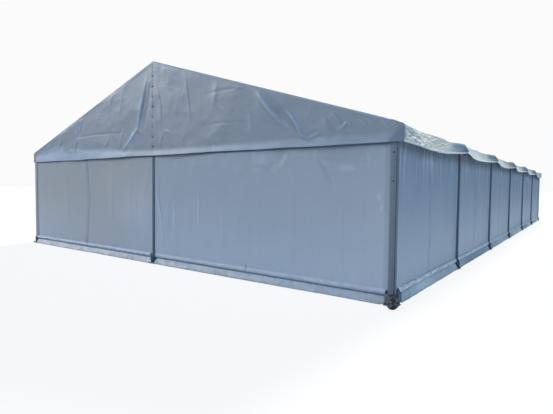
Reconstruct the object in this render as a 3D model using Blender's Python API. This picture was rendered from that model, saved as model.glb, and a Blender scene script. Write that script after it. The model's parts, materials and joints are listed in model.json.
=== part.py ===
"""Storage tent: a clear-span frame tent of PVC-coated sheeting on aluminium portal frames.

X runs across the gable with +X to the right, Y runs along the tent from the
front gable (low Y) to the back gable (high Y), and Z is up from the ground.
All sizes are in metres.
"""

import math

import bmesh
import bpy
from mathutils import Matrix, Vector

# The hall
BAY = 3.0                      # spacing of the portal frames
BAY_COUNT = 6
WIDTH = 9.05                   # over the outer faces of the legs
RIDGE_HEIGHT = 3.622           # underside of the roof sheeting at the ridge
PITCH = math.radians(17.6)
GAP = 0.0003                   # what faces that meet keep between them

# Frame profiles
LEG_DEPTH = 0.085              # across the tent, along X
LEG_BREADTH = 0.050            # along the tent, along Y
LEG_TOP = 2.060
GROOVE_WIDTH = 0.010           # the channel that a wall's beaded edge runs in
GROOVE_DEPTH = 0.008
RAFTER_DEPTH = 0.100           # square to the slope
RAFTER_END = 4.515             # where the rafter stops, from the centre line
KNUCKLE_SOFFIT = 3.440         # level underside of the bolted joint at the ridge
PURLIN = 0.050                 # square section
BEAM_TOP = 2.040               # gable beams and eave purlins
BEAM_HEIGHT = 0.060
BEAM_END_CLEARANCE = 0.007     # to the side walls
GABLE_POST_WIDTH = 0.048
HAUNCH = 0.100                 # the eave joint, measured in from the leg

# Base shoes
PLATE_LONG = 0.170             # across the tent
PLATE_WIDE = 0.150
PLATE_THICK = 0.010
CHEEK_THICK = 0.008
CHEEK_WIDE = 0.130
CHEEK_HEIGHT = 0.165
CHEEK_CORNER = 0.032           # cut off the cheeks' upper corners
CHEEK_BITE = 0.002             # the cheeks are sunk this far into the leg's faces
LEG_FOOT = 0.030               # the leg's lower end, above the ground
PIN_HEIGHT = 0.098
PIN_RADIUS = 0.010
PIN_OVERHANG = 0.018
PIN_SIDES = 10

# Roof sheeting
SHEET = 0.003
HEM_HEIGHT = 1.915             # lower edge of the eave flap at mid bay
GABLE_HEM_HEIGHT = 1.950
SLOPE_PARTS = 3
TURN_PARTS = 4
HOLD = 0.034                   # the sheeting lies flat this far each side of a frame
SLACK_SHARES = (0, 0.06, 0.17, 0.34, 0.5, 0.66, 0.83, 0.94, 1)
TIGHT_POWER = 3.4              # how fast the slack grows away from a frame
SEAM = 0.0015                  # half the split between two bays' sheets

# Gable triangles
BAND_HEIGHT = 0.125            # the weather band along the foot
BAND_KICK = 0.020              # how far its hem stands out
GABLE_SPLIT = 0.0008           # half the split between the laced halves

# Walls
WALL_TOP = 2.055
WALL_FACE = 4.490              # outer face of the side walls, from the centre line
WALL_RECESS = 0.012            # the gable walls' face behind the legs' front face
CURTAIN_FOOT = 0.179
SHOE_CLEARANCE = 0.066         # the rail pocket and ground flap stop short of each frame

# Sections of a wall's foot. The wall's face is at Y = 0, with low Y outside.
RAIL_POCKET = (
    (0.000, 0.185), (-0.018, 0.167), (-0.022, 0.148), (-0.015, 0.122),
    (0.000, 0.110), (0.030, 0.116), (0.030, 0.179), (0.003, 0.185),
)
GROUND_FLAP = (
    (0.004, 0.120), (-0.004, 0.112), (-0.062, 0.003), (-0.056, 0.003), (0.008, 0.114),
)

SLOPE = math.tan(PITCH)
HALF_LENGTH = BAY * BAY_COUNT / 2
GABLE_FACE = HALF_LENGTH + LEG_BREADTH / 2
LEG_X = WIDTH / 2 - LEG_DEPTH / 2
LEG_INNER = WIDTH / 2 - LEG_DEPTH

MATERIALS = {
    "sheeting": ((0.50, 0.56, 0.64), 0.50, 0.0),
    "aluminium": ((0.42, 0.44, 0.48), 0.40, 0.9),
}


def clear_scene():
    for thing in list(bpy.data.objects):
        bpy.data.objects.remove(thing)


def material(name):
    """The named finish, made the first time that it is asked for."""
    found = bpy.data.materials.get(name)
    if found:
        return found
    colour, roughness, metallic = MATERIALS[name]
    found = bpy.data.materials.new(name)
    found.use_nodes = True
    shader = found.node_tree.nodes["Principled BSDF"]
    shader.inputs["Base Color"].default_value = (*colour, 1.0)
    shader.inputs["Roughness"].default_value = roughness
    shader.inputs["Metallic"].default_value = metallic
    return found


def add_object(name, mesh, finish, place=(0, 0, 0), turn=0.0):
    """One named piece of the tent, turned about Z by a number of half turns."""
    thing = bpy.data.objects.new(name, mesh)
    thing.location = place
    thing.rotation_euler = (0, 0, turn * math.pi)
    bpy.context.scene.collection.objects.link(thing)
    if not mesh.materials:
        mesh.materials.append(material(finish))
    return thing


def finish_mesh(shape, name):
    """A bmesh made into a mesh with its faces pointing out."""
    bmesh.ops.recalc_face_normals(shape, faces=shape.faces)
    mesh = bpy.data.meshes.new(name)
    shape.to_mesh(mesh)
    shape.free()
    return mesh


def prism(name, outline, axis, low, high):
    """An outline in two axes, extruded along the third from low to high."""
    corner = {
        "X": lambda a, b, c: (c, a, b),
        "Y": lambda a, b, c: (a, c, b),
        "Z": lambda a, b, c: (a, b, c),
    }[axis]
    shape = bmesh.new()
    base = shape.faces.new([shape.verts.new(corner(a, b, low)) for a, b in outline])
    grown = bmesh.ops.extrude_face_region(shape, geom=[base])
    moved = [part for part in grown["geom"] if isinstance(part, bmesh.types.BMVert)]
    bmesh.ops.translate(shape, verts=moved, vec=corner(0, 0, high - low))
    return finish_mesh(shape, name)


def block(name, low, high):
    outline = [(low[0], low[1]), (high[0], low[1]), (high[0], high[1]), (low[0], high[1])]
    return prism(name, outline, "Z", low[2], high[2])


def cylinder_along_y(name, radius, centre, length):
    shape = bmesh.new()
    bmesh.ops.create_cone(
        shape, cap_ends=True, segments=PIN_SIDES, radius1=radius, radius2=radius, depth=length,
        matrix=Matrix.Translation(centre) @ Matrix.Rotation(math.pi / 2, 4, "X"),
    )
    return finish_mesh(shape, name)


def fused(name, meshes):
    """Overlapping shapes joined into one solid with exact Boolean unions."""
    parts = [bpy.data.objects.new(f"{name}_shape_{n}", mesh) for n, mesh in enumerate(meshes)]
    for part in parts:
        bpy.context.scene.collection.objects.link(part)
    for other in parts[1:]:
        union = parts[0].modifiers.new("join", "BOOLEAN")
        union.operation = "UNION"
        union.solver = "EXACT"
        union.object = other
    bpy.context.view_layer.update()
    evaluated = parts[0].evaluated_get(bpy.context.evaluated_depsgraph_get())
    mesh = bpy.data.meshes.new_from_object(evaluated)
    mesh.name = name
    for part in parts:
        bpy.data.objects.remove(part)
    return mesh


# Frames

def grooved_section(depth, breadth):
    """A hollow section's outside, with a beading channel in each face that a wall runs to."""
    half_depth, half_breadth = depth / 2, breadth / 2
    slot, cut = GROOVE_WIDTH / 2, GROOVE_DEPTH
    wall_line = WALL_FACE - SHEET / 2 - LEG_X
    return [
        (-half_depth, -half_breadth),
        (wall_line - slot, -half_breadth),
        (wall_line - slot, -half_breadth + cut),
        (wall_line + slot, -half_breadth + cut),
        (wall_line + slot, -half_breadth),
        (half_depth, -half_breadth),
        (half_depth, half_breadth),
        (wall_line + slot, half_breadth),
        (wall_line + slot, half_breadth - cut),
        (wall_line - slot, half_breadth - cut),
        (wall_line - slot, half_breadth),
        (-half_depth, half_breadth),
    ]


def base_shoe(breadth):
    """The ground plate, its two upright cheeks and the pin through them."""
    half_long, half_wide = PLATE_LONG / 2, PLATE_WIDE / 2
    inner = breadth / 2 - CHEEK_BITE
    outer = breadth / 2 + CHEEK_THICK
    cheek_half = CHEEK_WIDE / 2
    plate = block("plate", (-half_long, -half_wide, 0), (half_long, half_wide, PLATE_THICK))
    sunk = PLATE_THICK / 2
    shoulder = CHEEK_HEIGHT - CHEEK_CORNER
    narrow = cheek_half - CHEEK_CORNER
    outline = [
        (-cheek_half, sunk), (cheek_half, sunk), (cheek_half, shoulder),
        (narrow, CHEEK_HEIGHT), (-narrow, CHEEK_HEIGHT), (-cheek_half, shoulder),
    ]
    cheeks = [prism("cheek", outline, "Y", low, high) for low, high in ((inner, outer), (-outer, -inner))]
    pin = cylinder_along_y("pin", PIN_RADIUS, (0, 0, PIN_HEIGHT), 2 * (outer + PIN_OVERHANG))
    return [plate, *cheeks, pin]


def leg_mesh():
    shaft = prism("shaft", grooved_section(LEG_DEPTH, LEG_BREADTH), "Z", LEG_FOOT, LEG_TOP)
    return fused("leg", [shaft, *base_shoe(LEG_BREADTH)])


def gable_post_mesh():
    half = GABLE_POST_WIDTH / 2
    top = KNUCKLE_SOFFIT - GAP
    shaft = block("shaft", (-half, -LEG_BREADTH / 2, LEG_FOOT), (half, LEG_BREADTH / 2, top))
    return fused("gable_post", [shaft, *base_shoe(LEG_BREADTH)])


def roof_height(x):
    """Underside of the roof sheeting on a frame, x from the centre line."""
    return RIDGE_HEIGHT - abs(x) * SLOPE


def rafter_outline():
    """Both rafters, their bolted ridge joint and the eave joints, seen along the tent."""
    drop = RAFTER_DEPTH / math.cos(PITCH)
    seat = LEG_TOP + GAP
    knuckle_end = (RIDGE_HEIGHT - GAP - drop - KNUCKLE_SOFFIT) / SLOPE
    haunch = LEG_INNER - HAUNCH
    half = [
        (RAFTER_END, roof_height(RAFTER_END) - GAP),
        (RAFTER_END, seat),
        (LEG_INNER, seat),
        (haunch, roof_height(haunch) - GAP - drop),
        (knuckle_end, KNUCKLE_SOFFIT),
    ]
    return [(0.0, RIDGE_HEIGHT - GAP), *half] + [(-x, z) for x, z in reversed(half)]


def add_frames():
    leg = leg_mesh()
    half_breadth = LEG_BREADTH / 2
    rafters = prism("rafters", rafter_outline(), "Y", -half_breadth, half_breadth)
    for number in range(BAY_COUNT + 1):
        y = number * BAY - HALF_LENGTH
        add_object(f"leg_right_{number + 1}", leg, "aluminium", (LEG_X, y, 0))
        add_object(f"leg_left_{number + 1}", leg, "aluminium", (-LEG_X, y, 0), turn=1)
        add_object(f"rafters_{number + 1}", rafters, "aluminium", (0, y, 0))


def add_gable_frame(end, side):
    """The centre post and the beam behind it, at the gable on this side (-1 front, 1 back)."""
    add_object(f"{end}_gable_post", gable_post_mesh(), "aluminium", (0, side * HALF_LENGTH, 0))
    inner = HALF_LENGTH - LEG_BREADTH / 2 - GAP
    low, high = sorted((side * inner, side * (inner - PURLIN)))
    reach = WALL_FACE - SHEET - BEAM_END_CLEARANCE
    beam = block("beam", (-reach, low, BEAM_TOP - BEAM_HEIGHT), (reach, high, BEAM_TOP))
    add_object(f"{end}_gable_beam", beam, "aluminium")


def add_purlins():
    half = PURLIN / 2
    post_back = HALF_LENGTH - LEG_BREADTH / 2 - GAP
    top = KNUCKLE_SOFFIT - GAP
    ridge = block("ridge_purlin", (-half, -post_back, top - PURLIN), (half, post_back, top))
    add_object("ridge_purlin", ridge, "aluminium")
    beam_back = post_back - PURLIN - GAP
    for name, sign in (("left", -1), ("right", 1)):
        near, far = sorted((sign * (LEG_INNER - GAP), sign * (LEG_INNER - GAP - PURLIN)))
        eave = block(
            "eave_purlin", (near, -beam_back, BEAM_TOP - BEAM_HEIGHT), (far, beam_back, BEAM_TOP)
        )
        add_object(f"eave_purlin_{name}", eave, "aluminium")
        add_object(f"mid_purlin_{name}", mid_purlin(sign), "aluminium")


def mid_purlin(sign):
    """A purlin half way down the slope, flat against the undersides of the rafters."""
    along = Vector((math.cos(PITCH), -math.sin(PITCH)))
    into = Vector((-math.sin(PITCH), -math.cos(PITCH)))
    middle = WIDTH / 4
    top = Vector((middle, roof_height(middle) - GAP)) + into * (RAFTER_DEPTH + GAP)
    corners = [
        top - along * PURLIN / 2,
        top + along * PURLIN / 2,
        top + along * PURLIN / 2 + into * PURLIN,
        top - along * PURLIN / 2 + into * PURLIN,
    ]
    outline = [(sign * corner.x, corner.y) for corner in corners]
    reach = HALF_LENGTH + LEG_BREADTH / 2
    return prism("mid_purlin", outline, "Y", -reach, reach)


# Roof sheeting

def half_profile(shoulder, radius, last_angle, hem, sag):
    """Underside of the sheeting from the ridge to the eave flap's hem, seen along the tent.

    shoulder is where the slope starts to turn down, last_angle the flap's steepness,
    hem its lower edge's height, and sag how far the slope hangs below the rafters' line.
    """
    points = []
    for n in range(SLOPE_PARTS):
        x = shoulder * n / SLOPE_PARTS
        points.append((x, roof_height(x) - sag * math.sin(math.pi / 2 * n / SLOPE_PARTS) ** 2))
    start = Vector((shoulder, roof_height(shoulder) - sag))
    for n in range(TURN_PARTS + 1):
        angle = PITCH + (last_angle - PITCH) * n / TURN_PARTS
        x = start.x + radius * (math.sin(angle) - math.sin(PITCH))
        z = start.y - radius * (math.cos(PITCH) - math.cos(angle))
        points.append((x, z))
    x, z = points[-1]
    points.append((x + (z - hem) / math.tan(last_angle), hem))
    return points


ON_FRAME = half_profile(4.515, 0.140, math.radians(62), 2.015, 0.0)
AT_GABLE = half_profile(4.526, 0.090, math.radians(90), GABLE_HEM_HEIGHT, 0.0)
MID_BAY = half_profile(4.470, 0.060, math.radians(68), HEM_HEIGHT, 0.012)


def outset(points, distance):
    """The profile moved out square to itself, so that the sheet has its thickness."""
    moved = []
    for n, point in enumerate(points):
        before = Vector(points[max(n - 1, 0)])
        after = Vector(points[min(n + 1, len(points) - 1)])
        along = (after - before).normalized()
        out = Vector((-along.y, along.x))
        if n == 0:
            out = Vector((0, 1 / math.cos(PITCH)))
        moved.append((point[0] + out.x * distance, point[1] + out.y * distance))
    return moved


def blended(first, second, share):
    return [
        (a[0] + (b[0] - a[0]) * share, a[1] + (b[1] - a[1]) * share)
        for a, b in zip(first, second)
    ]


def whole_profile(half):
    return [(-x, z) for x, z in reversed(half[1:])] + half


def facet_layer(shape, grid, outward):
    """Triangles over a grid of points, split alike in the sheet's two layers so they stay apart."""
    for row in range(len(grid) - 1):
        for column in range(len(grid[0]) - 1):
            a, b = grid[row][column : column + 2]
            d, c = grid[row + 1][column : column + 2]
            near_ridge = (column < len(grid[0]) // 2) == (row < len(grid) // 2)
            pair = [(a, b, c), (a, c, d)] if near_ridge else [(a, b, d), (b, c, d)]
            for corners in pair:
                shape.faces.new(corners if outward else corners[::-1])


def roof_cover_mesh(bay, low, high, low_end, high_end):
    """One bay's sheet, held to the frame profiles at its ends and slack between them."""
    start = bay * BAY - HALF_LENGTH + HOLD
    span = BAY - 2 * HOLD
    slack = [(start + span * share, share) for share in SLACK_SHARES]
    stations = [(low, 0.0), *slack, (high, 1.0)]
    shape = bmesh.new()
    under, over = [], []
    for y, share in stations:
        tight = abs(2 * share - 1) ** TIGHT_POWER
        inner = blended(MID_BAY, low_end if share < 0.5 else high_end, tight)
        for layer, half in ((under, inner), (over, outset(inner, SHEET))):
            layer.append([shape.verts.new((x, y, z)) for x, z in whole_profile(half)])
    facet_layer(shape, over, True)
    facet_layer(shape, under, False)
    rims = [
        (under[0], over[0]),
        (over[-1], under[-1]),
        ([row[0] for row in over], [row[0] for row in under]),
        ([row[-1] for row in under], [row[-1] for row in over]),
    ]
    for one, other in rims:
        for n in range(len(one) - 1):
            shape.faces.new((one[n], one[n + 1], other[n + 1], other[n]))
    return finish_mesh(shape, "roof_cover")


def add_roof():
    lip = SHEET + 3 * GAP
    for bay in range(BAY_COUNT):
        first, last = bay == 0, bay == BAY_COUNT - 1
        low = -GABLE_FACE - lip if first else bay * BAY - HALF_LENGTH + SEAM
        high = GABLE_FACE + lip if last else (bay + 1) * BAY - HALF_LENGTH - SEAM
        low_end = AT_GABLE if first else ON_FRAME
        high_end = AT_GABLE if last else ON_FRAME
        cover = roof_cover_mesh(bay, low, high, low_end, high_end)
        add_object(f"roof_cover_{bay + 1}", cover, "sheeting")


# Gable triangles

def gable_sheet_mesh():
    """One half of a laced gable sheet, its lower band tilted out. Its front faces low Y."""
    turn = SLOPE_PARTS + 1
    slope = [(x, z - GAP / math.cos(PITCH)) for x, z in AT_GABLE[:turn]]
    corner = [(x - GAP, z - GAP) for x, z in AT_GABLE[turn:]]
    edge_x = corner[-1][0]
    band_top = GABLE_HEM_HEIGHT + BAND_HEIGHT
    outline = [
        (GABLE_SPLIT, slope[0][1]),
        *slope[1:],
        *corner[:-1],
        (edge_x, band_top),
        (edge_x, GABLE_HEM_HEIGHT),
        (GABLE_SPLIT, GABLE_HEM_HEIGHT),
        (GABLE_SPLIT, band_top),
    ]
    shape = bmesh.new()
    layers = []
    for y in (0.0, -SHEET):
        ring = []
        for x, z in outline:
            kick = 0.0 if z > GABLE_HEM_HEIGHT else BAND_KICK
            ring.append(shape.verts.new((x, y - kick, z)))
        layers.append(ring)
    count = len(outline)
    for ring in layers:
        shape.faces.new([*ring[: count - 3], ring[count - 1]])
        shape.faces.new(ring[count - 4 :])
    near, far = layers
    for n in range(count):
        after = (n + 1) % count
        shape.faces.new((near[n], near[after], far[after], far[n]))
    return finish_mesh(shape, "gable_sheet")


def add_gable_sheets():
    right = gable_sheet_mesh()
    left = right.copy()
    left.transform(Matrix.Scale(-1, 4, (1, 0, 0)))
    left.flip_normals()
    y = GABLE_FACE + GAP
    add_object("front_gable_right", right, "sheeting", (0, -y, 0))
    add_object("front_gable_left", left, "sheeting", (0, -y, 0))
    add_object("back_gable_left", right, "sheeting", (0, y, 0), turn=1)
    add_object("back_gable_right", left, "sheeting", (0, y, 0), turn=1)


# Walls

def wall_mesh(opening, edge_depth):
    """A wall that closes an opening of this length along X, its outer face at Y = 0.

    Its edges run edge_depth into the posts' channels. It carries the ground rail in a
    pocket along its foot, and a flap that spreads over the ground. Both stop short of
    the frames, where the base shoes stand.
    """
    half = opening / 2 + edge_depth - GAP
    short = opening / 2 - SHOE_CLEARANCE
    curtain = block("curtain", (-half, 0, CURTAIN_FOOT), (half, SHEET, WALL_TOP))
    pocket = prism("pocket", RAIL_POCKET, "X", -short, short)
    flap = prism("flap", GROUND_FLAP, "X", -short, short)
    return fused("wall", [pocket, curtain, flap])


def add_side_walls():
    wall = wall_mesh(BAY - LEG_BREADTH, GROOVE_DEPTH)
    for number in range(BAY_COUNT):
        y = (number + 0.5) * BAY - HALF_LENGTH
        for name, sign in (("right", 1), ("left", -1)):
            place = (sign * WALL_FACE, y, 0)
            add_object(f"side_wall_{name}_{number + 1}", wall, "sheeting", place, sign * 0.5)


def add_gable_walls():
    middle = (LEG_INNER + GABLE_POST_WIDTH / 2) / 2
    wall = wall_mesh(LEG_INNER - GABLE_POST_WIDTH / 2, 0.0)
    y = GABLE_FACE - WALL_RECESS
    for name, sign in (("right", 1), ("left", -1)):
        add_object(f"front_wall_{name}", wall, "sheeting", (sign * middle, -y, 0))
        add_object(f"back_wall_{name}", wall, "sheeting", (sign * middle, y, 0), turn=1)


def build_tent():
    clear_scene()
    add_frames()
    add_gable_frame("front", -1)
    add_gable_frame("back", 1)
    add_purlins()
    add_roof()
    add_gable_sheets()
    add_side_walls()
    add_gable_walls()


build_tent()
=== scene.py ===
# Storage tent: coated sheeting on aluminium portal frames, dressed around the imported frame.
# X runs across the gable, Y along the tent with the front gable at low Y, Z up, in metres.
import json
import math

import bmesh
import bpy
import numpy as np
from mathutils import Matrix, Vector

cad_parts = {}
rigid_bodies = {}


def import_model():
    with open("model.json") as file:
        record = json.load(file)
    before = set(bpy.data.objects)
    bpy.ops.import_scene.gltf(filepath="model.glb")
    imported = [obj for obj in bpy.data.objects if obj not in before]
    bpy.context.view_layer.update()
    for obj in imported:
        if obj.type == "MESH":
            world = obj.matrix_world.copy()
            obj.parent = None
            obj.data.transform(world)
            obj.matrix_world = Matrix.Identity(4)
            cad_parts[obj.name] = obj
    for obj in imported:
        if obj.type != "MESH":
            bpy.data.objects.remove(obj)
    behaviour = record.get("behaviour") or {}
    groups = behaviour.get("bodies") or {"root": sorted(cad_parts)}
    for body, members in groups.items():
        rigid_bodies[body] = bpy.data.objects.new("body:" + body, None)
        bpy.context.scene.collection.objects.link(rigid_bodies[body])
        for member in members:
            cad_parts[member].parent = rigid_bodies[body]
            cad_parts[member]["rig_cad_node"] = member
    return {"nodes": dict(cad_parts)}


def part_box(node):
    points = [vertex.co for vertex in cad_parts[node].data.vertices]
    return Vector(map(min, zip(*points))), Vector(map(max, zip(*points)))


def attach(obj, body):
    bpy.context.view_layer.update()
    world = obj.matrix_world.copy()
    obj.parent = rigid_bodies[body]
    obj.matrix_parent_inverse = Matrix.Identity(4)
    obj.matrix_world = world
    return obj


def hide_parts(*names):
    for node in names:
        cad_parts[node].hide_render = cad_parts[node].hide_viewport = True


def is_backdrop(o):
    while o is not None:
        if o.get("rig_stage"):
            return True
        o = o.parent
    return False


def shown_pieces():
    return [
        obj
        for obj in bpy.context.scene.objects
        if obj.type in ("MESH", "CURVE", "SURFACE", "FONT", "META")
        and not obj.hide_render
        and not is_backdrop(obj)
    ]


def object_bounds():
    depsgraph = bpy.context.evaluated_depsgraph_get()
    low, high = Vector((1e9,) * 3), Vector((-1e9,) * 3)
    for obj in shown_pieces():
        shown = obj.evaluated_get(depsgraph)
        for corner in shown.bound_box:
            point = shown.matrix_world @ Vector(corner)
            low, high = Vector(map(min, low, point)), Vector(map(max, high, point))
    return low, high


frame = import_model()
cadLow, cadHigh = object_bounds()
nodes = frame["nodes"]
print("frame loaded,", len(nodes), "nodes")


def addObject(name, data):
    made = bpy.data.objects.new(name, data)
    bpy.context.scene.collection.objects.link(made)
    return made


# Camera

view = dict(
    place=(6.334, -13.884, 1.400),
    heading=36.27,  # degrees turned left from +Y
    pitch=-2.64,
    roll=0.56,
    lens=27.60,
    sensor=36.0,
)


def addCamera():
    lens = bpy.data.cameras.new("camera")
    lens.lens = view["lens"]
    lens.sensor_width = view["sensor"]
    camera = addObject("camera", lens)
    camera.matrix_world = (
        Matrix.Translation(view["place"])
        @ Matrix.Rotation(math.radians(view["heading"]), 4, "Z")
        @ Matrix.Rotation(math.radians(90 + view["pitch"]), 4, "X")
        @ Matrix.Rotation(math.radians(view["roll"]), 4, "Z")
    )
    bpy.context.scene.camera = camera


addCamera()
print("camera set")

# Sizes that the pieces share; the bays and the legs come from the frame
bayCount = sum(name.startswith("roof_cover_") for name in nodes)
legLow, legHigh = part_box("leg_right_1")
hall = dict(
    bay=(cadHigh.y - cadLow.y - (legHigh.y - legLow.y)) / bayCount,
    pitch=math.radians(17.6),
    ridge=3.622,  # underside of the roof sheeting
    wallFace=4.490,  # outer face of the side walls
    legHalf=0.025,  # half the leg, along the tent
    legInner=4.440,
    postHalf=0.024,
    sideTop=2.100,  # the side curtains' upper edge, on the rail above the purlin
    gableTop=2.052,
    legTop=2.057,
    gableRecess=0.012,
    shoeClear=0.040,  # from a frame's face to where the ground flap starts
    plateReach=0.064,  # from a frame's face to the edge of its ground plate
    plateTop=0.010,
    cheekTop=0.167,
    tongueClear=0.011,  # from a side frame's face to the tongue beside its shoe
    cornerClear=0.130,  # from a corner leg to where a side wall's ground flap starts
    legClear=0.026,  # and a gable wall's
    cloth=0.002,
)
slope = math.tan(hall["pitch"])
halfLength = hall["bay"] * bayCount / 2
gableFace = halfLength + hall["legHalf"]
gableHalves = [(end, endSign, name, sign) for end, endSign in (("front", -1), ("back", 1))
               for name, sign in (("right", 1), ("left", -1))]


# Noise and folds

def ease(value):
    value = np.clip(value, 0, 1)
    return value * value * (3 - 2 * value)


def bell(value, power=2):
    # 1 at zero and falling to nothing on both sides
    return np.exp(-np.abs(value) ** power)


def softNoise(a, b, cell, seed):
    # smooth values from -1 to 1 that change over about one cell
    size, shift = 128, 40.5
    table = np.random.default_rng(seed).uniform(-1, 1, (size, size))
    u, v = a / cell + shift, b / cell + shift
    i, j = np.floor(u).astype(int), np.floor(v).astype(int)
    su, sv = (w * w * (3 - 2 * w) for w in (u - i, v - j))

    def acrossRow(up):
        first, second = (table[(i + over) % size, (j + up) % size] for over in (0, 1))
        return first * (1 - su) + second * su

    return acrossRow(0) * (1 - sv) + acrossRow(1) * sv


def crumple(a, b, cell, seed):
    # facets meeting in crests, as in sheeting that has been folded and packed away
    total, weight = 0, 1.0
    for octave in range(3):
        turned = seed * 0.7 + octave * 1.1
        along = a * math.cos(turned) + b * math.sin(turned)
        over = b * math.cos(turned) - a * math.sin(turned)
        noise = softNoise(along, over, cell / 1.9 ** octave, seed + 31 * octave)
        total = total + weight * (0.35 - np.abs(noise))
        weight *= 0.52
    return total


def fromLine(a, b, p, q):
    # how far along the line from p to q the nearest point lies, the gap to it and on which side
    length = math.dist(p, q)
    ua, ub = (q[0] - p[0]) / length, (q[1] - p[1]) / length
    da, db = a - p[0], b - p[1]
    along = np.clip(da * ua + db * ub, 0, length)
    return along, np.hypot(da - along * ua, db - along * ub), da * ub - db * ua


def foldAlong(a, b, route, width, lean=0.0):
    # 1 on the fold's line and falling to 0 beside it; lean makes one side steeper than the other
    legs = list(zip(route[:-1], route[1:]))
    total = sum(math.dist(p, q) for p, q in legs)
    nearest, signed, share, passed = np.full(a.shape, 1e9), 0, 0, 0.0
    for p, q in legs:
        along, gap, side = fromLine(a, b, p, q)
        closer = gap < nearest
        nearest = np.where(closer, gap, nearest)
        signed = np.where(closer, side, signed)
        share = np.where(closer, (passed + along) / total, share)
        passed += math.dist(p, q)
    wide = width * (1 + lean * np.sign(signed))
    fade = np.sin(math.pi * np.clip(share, 0.02, 0.98)) ** 0.55
    return bell(nearest / wide, 1.7) * fade


def foldField(a, b, folds, narrow=1.0):
    # heights of a list of folds, and the painted highlights along their crests
    height, crease = np.zeros(a.shape), np.zeros(a.shape)
    for fold in folds:
        route, width, rise, lean, paintedMarks = (*fold, 0.0, 0.0)[:5]
        width *= narrow
        height += rise * foldAlong(a, b, route, width, lean)
        if paintedMarks:
            crease = np.maximum(crease, paintedMarks * foldAlong(a, b, route, width * 0.35))
    return height, crease


def facetField(a, b, facets, soft=0.024):
    # painted light on areas of cloth that are turned to the light (strength above 0), and painted shade on
    # those turned away from it
    pale, dull = np.zeros(a.shape), np.zeros(a.shape)
    for strength, corners in facets:
        nearest, inside = np.full(a.shape, 1e9), np.zeros(a.shape, bool)
        for p, q in zip(corners, corners[1:] + corners[:1]):
            nearest = np.minimum(nearest, fromLine(a, b, p, q)[1])
            if p[1] != q[1]:
                edge = (b - p[1]) * (q[0] - p[0]) / (q[1] - p[1])
                inside ^= ((p[1] > b) != (q[1] > b)) & (a - p[0] < edge)
        mask = ease(0.5 + np.where(inside, nearest, -nearest) / soft)
        if strength > 0:
            pale = np.maximum(pale, strength * mask)
        else:
            dull = np.maximum(dull, -strength * mask)
    return pale, dull


# Sheets from grids of points

grid = dict(
    edge=0.004,  # the close pair of lines at each end
    pair=0.0012,  # half the close pair at an extra line
    apart=0.006,  # the least between other lines
)


def spaced(low, high, count, extra=(), edge=grid["edge"]):
    # evenly spaced values with a close pair at each end and at each extra value
    kept = {low, low + edge, high - edge, high}
    for value in extra:
        kept |= {value - grid["pair"], value + grid["pair"]}
    fixed = sorted(kept)
    for value in np.round(np.linspace(low, high, count), 5):
        if min(abs(value - other) for other in fixed) > grid["apart"]:
            kept.add(value)
    return np.array(sorted(kept))


def patch(points, flip, marks, keep=None):
    # a grid of points; keep, where given, says which of its cells become faces
    return dict(points=points, flip=flip, marks=marks, keep=keep)


def addSheet(name, patches, finish):
    # the patches joined as one sheet, with its thickness added on the inside
    corners, faces, values = [], [], {}
    first = 0
    for part in patches:
        rows, columns = part["points"].shape[:2]
        corners.append(part["points"].reshape(-1, 3))
        index = first + np.arange(rows * columns).reshape(rows, columns)
        quads = np.stack([index[:-1, :-1], index[1:, :-1], index[1:, 1:], index[:-1, 1:]], axis=-1)
        if part["flip"]:
            quads = quads[..., ::-1]
        faces.append(quads.reshape(-1, 4) if part["keep"] is None else quads[part["keep"]])
        for mark in ("crease", "line", "tone", "wrinkle"):
            given = part["marks"].get(mark, np.zeros((rows, columns)))
            values.setdefault(mark, []).append(given.ravel())
        first += rows * columns
    mesh = bpy.data.meshes.new(name)
    mesh.from_pydata(np.concatenate(corners).tolist(), [], np.concatenate(faces).tolist())
    for mark, lists in values.items():
        held = mesh.attributes.new(mark, "FLOAT", "POINT")
        held.data.foreach_set("value", np.concatenate(lists).astype(np.float32))
    shape = bmesh.new()
    shape.from_mesh(mesh)
    loose = [corner for corner in shape.verts if not corner.link_faces]
    bmesh.ops.delete(shape, geom=loose, context="VERTS")
    bmesh.ops.remove_doubles(shape, verts=shape.verts, dist=0.0002)
    shape.to_mesh(mesh)
    shape.free()
    mesh.shade_smooth()
    mesh.materials.append(finish)
    sheet = addObject(name, mesh)
    solid = sheet.modifiers.new("thickness", "SOLIDIFY")
    solid.thickness = hall["cloth"]
    solid.offset = -1
    solid.use_quality_normals = True
    return sheet


def finishSheet(piece, stands):
    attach(piece, "root")
    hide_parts(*stands)


# Shader nodes

def feed(tree, node, inputs):
    # links or sets each named input of a node
    for label, value in inputs.items():
        socket = node.inputs[label]
        if isinstance(value, bpy.types.NodeSocket):
            tree.links.new(value, socket)
        else:
            socket.default_value = (*value, 1.0) if socket.type == "RGBA" else value


def addNode(tree, kind, inputs=None, **settings):
    node = tree.nodes.new("ShaderNode" + kind)
    for label, value in settings.items():
        setattr(node, label, value)
    feed(tree, node, inputs or {})
    return node


def mathNode(tree, operation, *values, clamp=False):
    return addNode(tree, "Math", dict(enumerate(values)), operation=operation, use_clamp=clamp).outputs[0]


def times(tree, first, second, clamp=False):
    return mathNode(tree, "MULTIPLY", first, second, clamp=clamp)


def mixColour(tree, share, first, second):
    return addNode(tree, "Mix", {0: share, 6: first, 7: second}, data_type="RGBA").outputs[2]


def rampNode(tree, value, low, high):
    limits = {"Value": value, "From Min": low, "From Max": high}
    return addNode(tree, "MapRange", limits, interpolation_type="SMOOTHSTEP").outputs["Result"]


def pointOn(tree):
    return addNode(tree, "TexCoord").outputs["Object"]


def coordinates(tree, stretch=(1, 1, 1)):
    return addNode(tree, "Mapping", dict(Vector=pointOn(tree), Scale=stretch)).outputs["Vector"]


def noiseNode(tree, scale, detail, roughness, stretch=(1, 1, 1)):
    inputs = dict(Vector=coordinates(tree, stretch), Scale=scale, Detail=detail, Roughness=roughness)
    return addNode(tree, "TexNoise", inputs).outputs["Fac"]


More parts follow.
